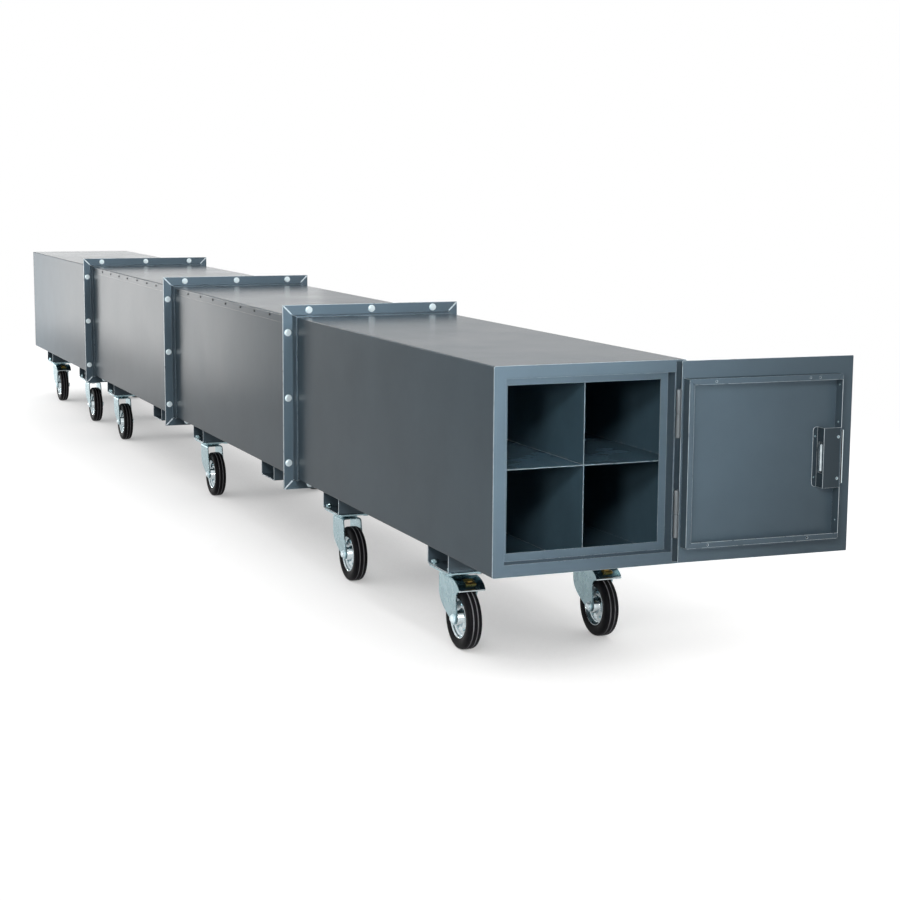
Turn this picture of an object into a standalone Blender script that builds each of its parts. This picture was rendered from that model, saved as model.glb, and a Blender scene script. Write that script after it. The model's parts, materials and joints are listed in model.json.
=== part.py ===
"""Pipe storage box: four bolted sheet-steel sections on castors, with a locking door at one end.

The model is built about the box's own centre line: x across, y from the door end to the rear, z up
from the floor. One empty then carries everything so that the origin lies under the middle of the whole
object as it stands with its door open.
"""

import math

import bmesh
import bpy
from mathutils import Vector

# Box sections, folded from sheet
BOX_WIDTH = 0.505
BOX_HEIGHT = 0.500
SECTION_LENGTH = 1.525
SECTION_COUNT = 4
SHEET = 0.002
BEND_RADIUS = 0.004
BEND_STEPS = 3
TIGHT_CORNER = 0.0006

# Clearance between pieces that touch, and half of it at each side of a joint plane
GAP = 0.0003

# Flange frames of angle section at the joints
FLANGE_LEG = 0.035
FLANGE_SIDE_LEG = 0.040
FLANGE_THICKNESS = 0.004
FLANGE_ROOT_RADIUS = 0.004
FLANGE_BOLT_INSET = 0.0485
FLANGE_BOLT_ACROSS_FLATS = 0.019
FLANGE_BOLT_HEAD = 0.008
FLANGE_NUT_HEIGHT = 0.010
FUSE_DEPTH = 0.001

# Door frame at the front end
LIP_WIDTH = 0.030
REBATE_DEPTH = 0.037
STOP_WIDTH = 0.020

# Cross channels under the box
CHANNEL_HEIGHT = 0.050
CHANNEL_WIDTH = 0.140
CHANNEL_SHEET = 0.003
CHANNEL_RECESS = 0.010
END_CHANNEL_INSET = 0.365
JOINT_CHANNEL_INSET = 0.320

# Castors
CASTOR_TRAIL = 0.050
CROWN_CLEARANCE = 0.020
PLATE_LENGTH = 0.136
PLATE_WIDTH = 0.102
PLATE_THICKNESS = 0.005
PLATE_EDGE = 0.0005
RACE_DIAMETER = 0.080
RACE_HEIGHT = 0.0107
RACE_SEGMENTS = 16
FORK_INNER_WIDTH = 0.050
FORK_SHEET = 0.004
FORK_SHOULDER = 0.009
FORK_REAR = 0.046
FORK_FRONT = 0.040
FORK_STRAIGHT = 0.045
AXLE_BOSS_RADIUS = 0.016
AXLE_RADIUS = 0.006
AXLE_SEGMENTS = 8
AXLE_NUT_ACROSS_FLATS = 0.019
AXLE_NUT_LENGTH = 0.009
BORE_RADIUS = 0.0066
WHEEL_DIAMETER = 0.160
WHEEL_SEGMENTS = 18
TREAD_WIDTH = 0.026
TYRE_WIDTH = 0.040
TYRE_BELLY_DEPTH = 0.012
TYRE_DEPTH = 0.030
RIM_LIP_WIDTH = 0.032
DISC_THICKNESS = 0.012
HUB_RADIUS = 0.019
CHEEK_REACH = 0.062
CHEEK_DEPTH = 0.010
CHEEK_DROP = 0.030
PEDAL_WIDTH = 0.072
PEDAL_SHEET = 0.003
PEDAL_LIP = 0.005
PEDAL_SETBACK = 0.006
HOOD_STEPS = 4

# Dividers
DIVIDER_SHEET = 0.002

# Door, measured along the open leaf from its hinge axis
DOOR_SHORT_OF_FLAT_DEG = 2.0
DOOR_FACE_GAP = 0.001
DOOR_SIDE_MARGIN = 0.001
DOOR_TOP_MARGIN = 0.003
DOOR_BOTTOM_MARGIN = 0.001
DOOR_CORNER_RADIUS = 0.002
PAN_HINGE_CLEARANCE = 0.0025
PAN_FREE_CLEARANCE = 0.0165
PAN_BOTTOM_CLEARANCE = 0.011
PAN_TOP_CLEARANCE = 0.015
PAN_DEPTH = 0.030
PAN_SHEET = 0.0015
PAN_RETURN = 0.014

# Lift-off hinges
HINGE_LENGTH = 0.118
HINGE_RADIUS = 0.007
HINGE_CLEARANCE = 0.001
HINGE_SPACING = 0.246
HINGE_NOSE = 0.002
HINGE_PIN_RADIUS = 0.004
HINGE_BORE_RADIUS = 0.0045
HINGE_PIN_LENGTH = 0.028
HINGE_SEGMENTS = 12

# Lock on the door's free side; lock and hinges sit a little under the middle of the box
FITTING_DROP = 0.004
LOCK_COVER_HEIGHT = 0.151
LOCK_COVER_SETBACK = 0.005
LOCK_COVER_SHEET = 0.0015
LOCK_FLANGE_WIDTH = 0.013
LOCK_FLANGE_CORNER = 0.009
LOCK_SLOT_HEIGHT = 0.076
LOCK_SLOT_DEPTH = 0.017
BOLT_DEPTH = 0.0174
BOLT_THICKNESS = 0.003
BOLT_HEIGHT = 0.134
BOLT_REACH = 0.013
BOLT_TRAVEL = 0.018
BOLT_FIT = 0.0004
CARRIAGE_WIDTH = 0.014
CARRIAGE_HEIGHT = 0.110
CARRIAGE_DEPTH = 0.018
CARRIAGE_CLEARANCE = 0.014
STRIKE_MARGIN = 0.004
KEY_RADIUS = 0.009
KEY_ROSE_RADIUS = 0.013
KEY_ROSE_HEIGHT = 0.003
KEY_SETBACK = 0.019
KEY_DEPTH = 0.011
KEY_SEGMENTS = 16

# Places worked out from the sizes above
BOX_LENGTH = SECTION_COUNT * SECTION_LENGTH
WHEEL_RADIUS = WHEEL_DIAMETER / 2
CROWN_TOP = WHEEL_DIAMETER + CROWN_CLEARANCE + FORK_SHEET
CASTOR_HEIGHT = CROWN_TOP + RACE_HEIGHT + GAP + PLATE_THICKNESS
CASTOR_X = BOX_WIDTH / 2 - CHANNEL_RECESS - PLATE_EDGE - PLATE_WIDTH / 2
UNDERSIDE = CASTOR_HEIGHT + CHANNEL_HEIGHT + GAP
FORK_OUTER_WIDTH = FORK_INNER_WIDTH + 2 * FORK_SHEET
DOOR_TURN = math.radians(DOOR_SHORT_OF_FLAT_DEG)
REBATE_SIDE = BOX_WIDTH / 2 - LIP_WIDTH
HINGE_X = REBATE_SIDE + SHEET + HINGE_CLEARANCE + HINGE_RADIUS
HINGE_Y = -DOOR_FACE_GAP - SHEET / 2
DOOR_START = HINGE_RADIUS + GAP
DOOR_END = HINGE_X + BOX_WIDTH / 2 - DOOR_SIDE_MARGIN
PAN_START = HINGE_X - REBATE_SIDE + PAN_HINGE_CLEARANCE
PAN_END = HINGE_X + REBATE_SIDE - PAN_FREE_CLEARANCE
PAN_BASE = -SHEET / 2 - GAP
PAN_FACE = PAN_BASE - PAN_DEPTH
LOCK_Z = BOX_HEIGHT / 2 - FITTING_DROP
LOCK_COVER_END = PAN_END - LOCK_COVER_SETBACK
LOCK_COVER_START = LOCK_COVER_END - CARRIAGE_WIDTH - BOLT_TRAVEL - CARRIAGE_CLEARANCE
BOLT_Y = PAN_BASE - BOLT_DEPTH
HINGE_CENTRES = (LOCK_Z - HINGE_SPACING / 2, LOCK_Z + HINGE_SPACING / 2)

SIDES = (("left", -1), ("right", 1))


def channel_stations():
    """Cross channels in order: name, distance from the front, castors fitted, brakes fitted."""
    last = SECTION_COUNT - 1
    stations = []
    for index in range(SECTION_COUNT):
        front_inset = END_CHANNEL_INSET if index == 0 else JOINT_CHANNEL_INSET
        rear_inset = END_CHANNEL_INSET if index == last else JOINT_CHANNEL_INSET
        start = index * SECTION_LENGTH
        front = start + front_inset
        rear = start + SECTION_LENGTH - rear_inset
        stations.append((f"channel_{index + 1}_front", front, index in (0, last), index == 0))
        stations.append((f"channel_{index + 1}_rear", rear, True, index == last))
    return stations


def clear_scene():
    """Start from an empty file."""
    for item in list(bpy.data.objects):
        bpy.data.objects.remove(item, do_unlink=True)


def make_material(name, colour, roughness, metallic):
    """A plain Principled material."""
    material = bpy.data.materials.new(name)
    material.use_nodes = True
    shader = material.node_tree.nodes["Principled BSDF"]
    shader.inputs["Base Color"].default_value = (*colour, 1.0)
    shader.inputs["Roughness"].default_value = roughness
    shader.inputs["Metallic"].default_value = metallic
    return material


def make_empty(name, parent, location, turn=0.0):
    """An empty that carries other objects, turned about the vertical."""
    empty = bpy.data.objects.new(name, None)
    bpy.context.scene.collection.objects.link(empty)
    empty.parent = parent
    empty.location = location
    empty.rotation_euler = (0.0, 0.0, turn)
    return empty


def finish_mesh(name, shape):
    """Turn a bmesh into a mesh with faces out, smooth on its round stretches."""
    bmesh.ops.recalc_face_normals(shape, faces=shape.faces)
    mesh = bpy.data.meshes.new(name)
    shape.to_mesh(mesh)
    shape.free()
    mesh.shade_smooth()
    mesh.set_sharp_from_angle(angle=math.radians(35))
    return mesh


def add_part(name, mesh, material, parent, location=(0.0, 0.0, 0.0)):
    """Place a mesh as one named piece under its parent."""
    if not mesh.materials:
        mesh.materials.append(material)
    part = bpy.data.objects.new(name, mesh)
    bpy.context.scene.collection.objects.link(part)
    part.parent = parent
    part.location = location
    return part


def add_tool(name, mesh, parent):
    """A helper solid for a Boolean, left out of the model."""
    tool = bpy.data.objects.new(name, mesh)
    bpy.context.scene.collection.objects.link(tool)
    tool.parent = parent
    tool.hide_render = True
    tool.display_type = "WIRE"
    return tool


def combine(part, tool, operation):
    """Add a Boolean modifier that joins, cuts or trims a piece with a helper solid."""
    modifier = part.modifiers.new(tool.name, "BOOLEAN")
    modifier.operation = operation
    modifier.solver = "EXACT"
    modifier.object = tool


def bake(part, tools):
    """Replace a piece's modifiers by the mesh they make, and remove the helpers."""
    graph = bpy.context.evaluated_depsgraph_get()
    mesh = bpy.data.meshes.new_from_object(part.evaluated_get(graph))
    for item in (part, *tools):
        bpy.data.objects.remove(item, do_unlink=True)
    return mesh


def rounded_outline(width, height, inset, radius, steps):
    """Corner points of a rectangle standing on z = 0, drawn in by inset; square where steps is 0."""
    corner = max(min(radius, radius - inset), TIGHT_CORNER) if steps else 0.0
    right = width / 2 - inset - corner
    low = inset + corner
    high = height - inset - corner
    points = []
    for x, z, start in ((right, high, 0), (-right, high, 90), (-right, low, 180), (right, low, 270)):
        for step in range(steps + 1):
            angle = math.radians(start + 90 * step / max(steps, 1))
            points.append((x + corner * math.cos(angle), z + corner * math.sin(angle)))
    return points


def bridge(shape, first, second):
    """Quads between two closed rings of vertices."""
    count = len(first)
    for k in range(count):
        after = (k + 1) % count
        shape.faces.new((first[k], first[after], second[after], second[k]))


def frame_shape(width, height, profile, radius, steps=BEND_STEPS):
    """Carry a closed (inset, y) profile round a rectangle with mitred or rounded corners."""
    shape = bmesh.new()
    rings = []
    for inset, y in profile:
        outline = rounded_outline(width, height, inset, radius, steps)
        rings.append([shape.verts.new((x, y, z)) for x, z in outline])
    for k, ring in enumerate(rings):
        bridge(shape, ring, rings[(k + 1) % len(rings)])
    return shape


def closed_tube_shape(width, height, start, end, wall, radius):
    """A rectangular tube along y whose far end is closed by a panel of the same sheet."""
    shape = bmesh.new()
    rings = []
    for inset, y in ((wall, end - wall), (wall, start), (0.0, start), (0.0, end)):
        outline = rounded_outline(width, height, inset, radius, BEND_STEPS)
        rings.append([shape.verts.new((x, y, z)) for x, z in outline])
    for first, second in zip(rings, rings[1:]):
        bridge(shape, first, second)
    shape.faces.new(rings[0])
    shape.faces.new(rings[-1])
    return shape


def extrusion_shape(outline, axis, low, high):
    """Extrude a flat outline along x, y or z between two distances."""
    shape = bmesh.new()
    rings = []
    for distance in (low, high):
        ring = []
        for a, b in outline:
            place = {"x": (distance, a, b), "y": (a, distance, b), "z": (a, b, distance)}[axis]
            ring.append(shape.verts.new(place))
        rings.append(ring)
    bridge(shape, *rings)
    shape.faces.new(rings[0])
    shape.faces.new(rings[1])
    return shape


def box_shape(low, high):
    """A plain block between two corners."""
    outline = ((low[0], low[1]), (high[0], low[1]), (high[0], high[1]), (low[0], high[1]))
    return extrusion_shape(outline, "z", low[2], high[2])


def lathe_shape(profile, segments, axis):
    """Turn (radius, distance) points about an axis; a flat lies under the axis."""
    shape = bmesh.new()
    rings = []
    for radius, distance in profile:
        ring = []
        for k in range(segments if radius > 0 else 1):
            angle = 2 * math.pi * (k + 0.5) / segments
            a = radius * math.sin(angle)
            b = -radius * math.cos(angle)
            place = {"x": (distance, a, b), "y": (a, distance, b), "z": (a, b, distance)}[axis]
            ring.append(shape.verts.new(place))
        rings.append(ring)
    pairs = list(zip(rings, rings[1:]))
    if profile[0][0] > 0:
        pairs.append((rings[-1], rings[0]))
    for first, second in pairs:
        if len(first) == len(second):
            bridge(shape, first, second)
            continue
        pole, ring = (first[0], second) if len(first) == 1 else (second[0], first)
        for k in range(segments):
            shape.faces.new((pole, ring[k], ring[(k + 1) % segments]))
    return shape


def hex_shape(across_flats, low, high, axis):
    """A hexagon head or nut."""
    radius = across_flats / math.sqrt(3)
    return lathe_shape(((0, low), (radius, low), (radius, high), (0, high)), 6, axis)


def moved(shape, offset):
    """Shift a shape."""
    bmesh.ops.translate(shape, verts=shape.verts, vec=Vector(offset))
    return shape


def joined(shapes):
    """Gather several closed shapes into one mesh."""
    whole = bmesh.new()
    for shape in shapes:
        scratch = bpy.data.meshes.new("scratch")
        bmesh.ops.recalc_face_normals(shape, faces=shape.faces)
        shape.to_mesh(scratch)
        shape.free()
        whole.from_mesh(scratch)
        bpy.data.meshes.remove(scratch)
    return whole


def curve_points(start, start_pull, end_pull, end, steps):
    """Points along a cubic curve, leaving out its first point."""
    points = []
    for k in range(1, steps + 1):
        t = k / steps
        weights = ((1 - t) ** 3, 3 * t * (1 - t) ** 2, 3 * t * t * (1 - t), t ** 3)
        corners = (start, start_pull, end_pull, end)
        points.append(tuple(sum(w * c[i] for w, c in zip(weights, corners)) for i in (0, 1)))
    return points


def arc_points(centre, radius, start_deg, end_deg, steps):
    """Points along an arc, both ends included."""
    points = []
    for k in range(steps + 1):
        angle = math.radians(start_deg + (end_deg - start_deg) * k / steps)
        points.append((centre[0] + radius * math.cos(angle), centre[1] + radius * math.sin(angle)))
    return points


def model_centre():
    """Middle of the whole footprint with the door standing open, from the box's centre line."""
    cosine = math.cos(DOOR_TURN)
    sine = math.sin(DOOR_TURN)
    left = -BOX_WIDTH / 2 - FLANGE_LEG
    right = HINGE_X + DOOR_END * cosine + SHEET / 2 * sine
    cover_face = PAN_FACE - GAP - LOCK_COVER_SHEET
    pan_front = HINGE_Y - PAN_END * sine + PAN_FACE * cosine
    cover_front = HINGE_Y - LOCK_COVER_END * sine + cover_face * cosine
    front = min(pan_front, cover_front)
    return (left + right) / 2, (front + BOX_LENGTH) / 2


def section_span(index):
    """Where a section's shell starts and ends."""
    start = index * SECTION_LENGTH + GAP / 2
    end = (index + 1) * SECTION_LENGTH - GAP / 2
    if index == 0:
        start = SHEET + GAP
    if index == SECTION_COUNT - 1:
        end = BOX_LENGTH
    return start, end


def build_sections(root, paint):
    """Folded shells, the last one closed by the rear panel."""
    for index in range(SECTION_COUNT):
        start, end = section_span(index)
        if index < SECTION_COUNT - 1:
            profile = ((0.0, start), (0.0, end), (SHEET, end), (SHEET, start))
            shape = frame_shape(BOX_WIDTH, BOX_HEIGHT, profile, BEND_RADIUS)
        else:
            shape = closed_tube_shape(BOX_WIDTH, BOX_HEIGHT, start, end, SHEET, BEND_RADIUS)
        name = f"section_{index + 1}_shell"
        add_part(name, finish_mesh(name, shape), paint, root, (0.0, 0.0, UNDERSIDE))


def build_dividers(root, paint):
    """Upright and shelf crossing in each section, four compartments in all."""
    half = DIVIDER_SHEET / 2
    side = BOX_WIDTH / 2 - SHEET - GAP
    low = SHEET + GAP
    high = BOX_HEIGHT - SHEET - GAP
    middle = BOX_HEIGHT / 2
    outline = (
        (half, low), (half, middle - half), (side, middle - half), (side, middle + half),
        (half, middle + half), (half, high), (-half, high), (-half, middle + half),
        (-side, middle + half), (-side, middle - half), (-half, middle - half), (-half, low),
    )
    for index in range(SECTION_COUNT):
        start, end = section_span(index)
        if index == 0:
            start = REBATE_DEPTH + GAP
        if index == SECTION_COUNT - 1:
            end = BOX_LENGTH - SHEET - GAP
        name = f"section_{index + 1}_divider"
        mesh = finish_mesh(name, extrusion_shape(outline, "y", start, end))
        add_part(name, mesh, paint, root, (0.0, 0.0, UNDERSIDE))


def build_front_frame(root, paint):
    """Door frame: face lip, rebate wall and stop flange, with hinge notches and a strike slot."""
    stop = LIP_WIDTH + STOP_WIDTH
    profile = (
        (0.0, 0.0), (LIP_WIDTH, 0.0), (LIP_WIDTH, REBATE_DEPTH - SHEET), (stop, REBATE_DEPTH - SHEET),
        (stop, REBATE_DEPTH), (LIP_WIDTH - SHEET, REBATE_DEPTH), (LIP_WIDTH - SHEET, SHEET), (0.0, SHEET),
    )
    mesh = finish_mesh("front_frame", frame_shape(BOX_WIDTH, BOX_HEIGHT, profile, BEND_RADIUS))
    frame = add_part("front_frame", mesh, paint, root, (0.0, 0.0, UNDERSIDE))
    notch_low = (REBATE_SIDE + SHEET + GAP, -SHEET, -HINGE_LENGTH / 2 - GAP)
    notch_high = (HINGE_X + HINGE_RADIUS + GAP, 2 * SHEET, HINGE_LENGTH / 2 + GAP)
    notches = [moved(box_shape(notch_low, notch_high), (0.0, 0.0, z)) for z in HINGE_CENTRES]
    bolt_depth = HINGE_Y - BOLT_Y
    strike_depth = BOLT_THICKNESS / 2 + STRIKE_MARGIN
    strike_low = (-REBATE_SIDE - 2 * SHEET, bolt_depth - strike_depth, LOCK_Z - BOLT_HEIGHT / 2 - STRIKE_MARGIN)
    strike_high = (-REBATE_SIDE + SHEET, bolt_depth + strike_depth, LOCK_Z + BOLT_HEIGHT / 2 + STRIKE_MARGIN)
    cuts = joined([*notches, box_shape(strike_low, strike_high)])
    tool = add_tool("frame_cuts", finish_mesh("frame_cuts", cuts), frame)
    combine(frame, tool, "DIFFERENCE")


def flange_bolt_places():
    """Centres of the bolts round one flange, as (x, z) from the box's underside."""
    offset = FLANGE_LEG / 2 + FLANGE_THICKNESS / 2
    places = []
    for step in (-1, 0, 1):
        across = step * (BOX_WIDTH / 2 - FLANGE_BOLT_INSET)
        up = BOX_HEIGHT / 2 + step * (BOX_HEIGHT / 2 - FLANGE_BOLT_INSET)
        places.append((across, BOX_HEIGHT + offset))
        places.append((across, -offset))
        places.append((-BOX_WIDTH / 2 - offset, up))
        places.append((BOX_WIDTH / 2 + offset, up))
    return places


def flange_mesh(name, toward, fastener_height, paint):
    """One angle frame with its bolt heads or nuts; toward is -1 when the section lies at lower y."""
    face = toward * GAP / 2
    back = face + toward * FLANGE_THICKNESS
    heel = -GAP - FLANGE_THICKNESS
    root_radius = FLANGE_ROOT_RADIUS
    root = arc_points((heel - root_radius, root_radius), root_radius, -90, 0, 2)
    profile = [(-GAP, face), (-FLANGE_LEG, face), (-FLANGE_LEG, back)]
    profile += [(inset, back + toward * depth) for inset, depth in root]
    profile += [(heel, face + toward * FLANGE_SIDE_LEG), (-GAP, face + toward * FLANGE_SIDE_LEG)]
    frame = add_part(name, finish_mesh(name, frame_shape(BOX_WIDTH, BOX_HEIGHT, profile, 0.0, 0)), paint, None)
    low = back - toward * FUSE_DEPTH
    high = back + toward * fastener_height
    heads = []
    for x, z in flange_bolt_places():
        head = hex_shape(FLANGE_BOLT_ACROSS_FLATS, min(low, high), max(low, high), "y")
        heads.append(moved(head, (x, 0.0, z)))
    tool = add_tool(name + "_heads", finish_mesh(name, joined(heads)), None)
    combine(frame, tool, "UNION")
    return bake(frame, [tool])


def build_flanges(root, paint):
    """Two mating angle frames at each joint, bolt heads to the front and nuts to the rear."""
    front_mesh = flange_mesh("flange_front", -1, FLANGE_BOLT_HEAD, paint)
    rear_mesh = flange_mesh("flange_rear", 1, FLANGE_NUT_HEIGHT, paint)
    for joint in range(1, SECTION_COUNT):
        place = (0.0, joint * SECTION_LENGTH, UNDERSIDE)
        add_part(f"flange_{joint}_front", front_mesh, paint, root, place)
        add_part(f"flange_{joint}_rear", rear_mesh, paint, root, place)


def channel_mesh(name, with_plates, paint):
    """A cross channel open at its ends, with the castor plates under it where it carries castors."""
    half = CHANNEL_WIDTH / 2
    inner = half - CHANNEL_SHEET
    outline = (
        (-half, 0.0), (half, 0.0), (half, CHANNEL_HEIGHT), (inner, CHANNEL_HEIGHT),
        (inner, CHANNEL_SHEET), (-inner, CHANNEL_SHEET), (-inner, CHANNEL_HEIGHT), (-half, CHANNEL_HEIGHT),
    )
    reach = BOX_WIDTH / 2 - CHANNEL_RECESS
    channel = add_part(name, finish_mesh(name, extrusion_shape(outline, "x", -reach, reach)), paint, None)
    tools = []
    if with_plates:
        plates = []
        for _, side in SIDES:
            low = (side * CASTOR_X - PLATE_WIDTH / 2, -PLATE_LENGTH / 2, -PLATE_THICKNESS)
            high = (side * CASTOR_X + PLATE_WIDTH / 2, PLATE_LENGTH / 2, FUSE_DEPTH)
            plates.append(box_shape(low, high))
        tools.append(add_tool(name + "_plates", finish_mesh(name, joined(plates)), None))
        combine(channel, tools[0], "UNION")
    return bake(channel, tools)


def build_channels(root, paint):
    """The eight cross channels, six of them with castor plates."""
    meshes = {fitted: channel_mesh("channel", fitted, paint) for fitted in (True, False)}
    for name, distance, fitted, _ in channel_stations():
        add_part(name, meshes[fitted], paint, root, (0.0, distance, CASTOR_HEIGHT))


def hood_points(lift, setback):
    """Quarter of an ellipse from the crown down to the cheeks' tips, raised by lift along its own normal."""
    points = []
    for k in range(HOOD_STEPS + 1):
        angle = math.radians(90 * k / HOOD_STEPS)
        normal = Vector((-CHEEK_DROP * math.sin(angle), CHEEK_REACH * math.cos(angle))).normalized()
        centre = Vector((-FORK_FRONT, CROWN_TOP - CHEEK_DROP))
        reach = Vector((-CHEEK_REACH * math.sin(angle), CHEEK_DROP * math.cos(angle)))
        points.append(centre + reach + lift * normal)
    first_step = points[1] - points[0]
    points[0] = points[0] + first_step.normalized() * setback
    return [tuple(point) for point in points]


def fork_silhouette(braked):
    """Side outline of a fork as (y, z) about its swivel axis, wheel towards the front."""
    axle = (-CASTOR_TRAIL, WHEEL_RADIUS)
    above = CROWN_TOP + FORK_SHEET
    boss = arc_points(axle, AXLE_BOSS_RADIUS, -50, -180, 4)
    rear_end = (FORK_REAR, CROWN_TOP - FORK_STRAIGHT)
    low_pull = (FORK_REAR, WHEEL_RADIUS + AXLE_BOSS_RADIUS)
    boss_pull = (boss[0][0] + AXLE_BOSS_RADIUS, boss[0][1] + AXLE_BOSS_RADIUS)
    outline = [(-FORK_FRONT, above), (FORK_REAR, above), rear_end]
    outline += curve_points(rear_end, low_pull, boss_pull, boss[0], 4)
    outline += boss[1:]
    if braked:
        tip = -FORK_FRONT - CHEEK_REACH
        tip_top = CROWN_TOP - CHEEK_DROP
        neck = (axle[0] - AXLE_BOSS_RADIUS, tip_top - 2 * CHEEK_DEPTH)
        outline += [neck, (neck[0] - CHEEK_DEPTH, tip_top - CHEEK_DEPTH), (tip, tip_top - CHEEK_DEPTH)]
        outline += reversed(hood_points(0.0, 0.0))
    return outline


def fork_mesh(name, braked, zinc):
    """A pressed fork: a folded U trimmed to its side outline, with its ball race and axle."""
    half = FORK_OUTER_WIDTH / 2
    inner = FORK_INNER_WIDTH / 2
    foot = WHEEL_RADIUS - AXLE_BOSS_RADIUS - FORK_SHEET
    inner_shoulder = FORK_SHOULDER - FORK_SHEET
    outer_z = CROWN_TOP - FORK_SHOULDER
    section = [(inner, foot), (half, foot)]
    section += arc_points((half - FORK_SHOULDER, outer_z), FORK_SHOULDER, 0, 90, 3)
    section += arc_points((FORK_SHOULDER - half, outer_z), FORK_SHOULDER, 90, 180, 3)
    section += [(-half, foot), (-inner, foot)]
    section += arc_points((FORK_SHOULDER - half, outer_z), inner_shoulder, 180, 90, 2)
    section += arc_points((half - FORK_SHOULDER, outer_z), inner_shoulder, 90, 0, 2)
    reach = FORK_REAR + CASTOR_TRAIL + CHEEK_REACH
    fork = add_part(name, finish_mesh(name, extrusion_shape(section, "y", -reach, reach)), zinc, None)
    trim = extrusion_shape(fork_silhouette(braked), "x", -FORK_OUTER_WIDTH, FORK_OUTER_WIDTH)
    race_radius = RACE_DIAMETER / 2
    race_low = CROWN_TOP - FUSE_DEPTH
    race_high = CROWN_TOP + RACE_HEIGHT
    waist = CROWN_TOP + RACE_HEIGHT / 3
    crown_radius = FORK_OUTER_WIDTH / 2 - FORK_SHOULDER
    race = lathe_shape(
        ((0, race_low), (crown_radius, race_low), (crown_radius, waist), (race_radius, waist),
         (race_radius, race_high), (0, race_high)), RACE_SEGMENTS, "z")
    axle_end = FORK_OUTER_WIDTH / 2 - FUSE_DEPTH
    nut_start = axle_end - FUSE_DEPTH
    nut_end = FORK_OUTER_WIDTH / 2 + AXLE_NUT_LENGTH
    axle_place = (0.0, -CASTOR_TRAIL, WHEEL_RADIUS)
    axle = lathe_shape(((0, -axle_end), (AXLE_RADIUS, -axle_end), (AXLE_RADIUS, axle_end), (0, axle_end)),
                       AXLE_SEGMENTS, "x")
    additions = {
        "race": race,
        "axle": moved(axle, axle_place),
        "left_nut": moved(hex_shape(AXLE_NUT_ACROSS_FLATS, -nut_end, -nut_start, "x"), axle_place),
        "right_nut": moved(hex_shape(AXLE_NUT_ACROSS_FLATS, nut_start, nut_end, "x"), axle_place),
    }
    tools = [add_tool(name + "_trim", finish_mesh(name, trim), None)]
    combine(fork, tools[0], "INTERSECT")
    for label, shape in additions.items():
        tools.append(add_tool(f"{name}_{label}", finish_mesh(name, shape), None))
        combine(fork, tools[-1], "UNION")
    return bake(fork, tools)


def wheel_mesh(name):
    """Tyre, disc rim and hub turned in one, with a flat of the tread on the floor."""
    tread = WHEEL_RADIUS / math.cos(math.pi / WHEEL_SEGMENTS)
    hub_half = FORK_INNER_WIDTH / 2 - GAP
    rim = WHEEL_RADIUS - TYRE_DEPTH
    belly = WHEEL_RADIUS - TYRE_BELLY_DEPTH
    half = (
        (BORE_RADIUS, hub_half), (HUB_RADIUS, hub_half), (HUB_RADIUS, DISC_THICKNESS / 2),
        (rim, DISC_THICKNESS / 2), (rim, RIM_LIP_WIDTH / 2),
        (belly, TYRE_WIDTH / 2), (tread, TREAD_WIDTH / 2),
    )
    profile = [(radius, -x) for radius, x in half] + [(radius, x) for radius, x in reversed(half)]
    return finish_mesh(name, lathe_shape(profile, WHEEL_SEGMENTS, "x"))


def pedal_mesh(name):
    """A brake pedal: a hood that follows the fork's cheeks, with a turned-down front lip."""
    inner = hood_points(GAP, PEDAL_SETBACK)
    outer = hood_points(GAP + PEDAL_SHEET, PEDAL_SETBACK)
    lip = [(y, z - PEDAL_LIP) for y, z in (inner[-1], outer[-1])]
    shape = extrusion_shape(inner + lip + outer[::-1], "x", -PEDAL_WIDTH / 2, PEDAL_WIDTH / 2)
    return finish_mesh(name, moved(shape, (0.0, FORK_FRONT, -CROWN_TOP)))


def build_castors(root, zinc, gold, rubber):
    """Swivel castors under each fitted channel, braked at the four outer corners."""
    forks = {braked: fork_mesh("castor_fork", braked, zinc) for braked in (True, False)}
    wheel = wheel_mesh("castor_wheel")
    pedal = pedal_mesh("castor_pedal")
    fitted = [(distance, braked) for _, distance, carries, braked in channel_stations() if carries]
    for number, (distance, braked) in enumerate(fitted, start=1):
        for side_name, side in SIDES:
            name = f"castor_{number}_{side_name}"
            swivel = make_empty(name + "_swivel", root, (side * CASTOR_X, distance, 0.0))
            add_part(name + "_fork", forks[braked], zinc, swivel)
            add_part(name + "_wheel", wheel, rubber, swivel, (0.0, -CASTOR_TRAIL, WHEEL_RADIUS))
            if braked:
                add_part(name + "_pedal", pedal, gold, swivel, (0.0, -FORK_FRONT, CROWN_TOP))


def hinge_half_meshes():
    """A frame half with its pin, and a door half with a blind bore for it."""
    half = HINGE_LENGTH / 2
    seat = GAP / 2
    nose = HINGE_RADIUS - HINGE_NOSE
    pin_top = HINGE_PIN_LENGTH
    frame_half = (
        (0, -half), (nose, -half), (HINGE_RADIUS, -half + HINGE_NOSE), (HINGE_RADIUS, -seat),
        (HINGE_PIN_RADIUS, -seat), (HINGE_PIN_RADIUS, pin_top), (0, pin_top),
    )
    bore_top = HINGE_PIN_LENGTH + HINGE_NOSE
    door_half = (
        (0, bore_top), (HINGE_BORE_RADIUS, bore_top), (HINGE_BORE_RADIUS, seat), (HINGE_RADIUS, seat),
        (HINGE_RADIUS, half - HINGE_NOSE), (nose, half), (0, half),
    )
    shapes = (lathe_shape(frame_half, HINGE_SEGMENTS, "z"), lathe_shape(door_half, HINGE_SEGMENTS, "z"))
    return [finish_mesh("hinge_half", shape) for shape in shapes]


def build_hinges(root, door, paint):
    """Two lift-off hinges: the frame halves stay on the box, the door halves turn with the door."""
    frame_half, door_half = hinge_half_meshes()
    for label, z in zip(("lower", "upper"), HINGE_CENTRES):
        add_part(f"hinge_{label}_frame_half", frame_half, paint, root, (HINGE_X, HINGE_Y, UNDERSIDE + z))
        add_part(f"hinge_{label}_door_half", door_half, paint, door, (0.0, 0.0, z))


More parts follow.
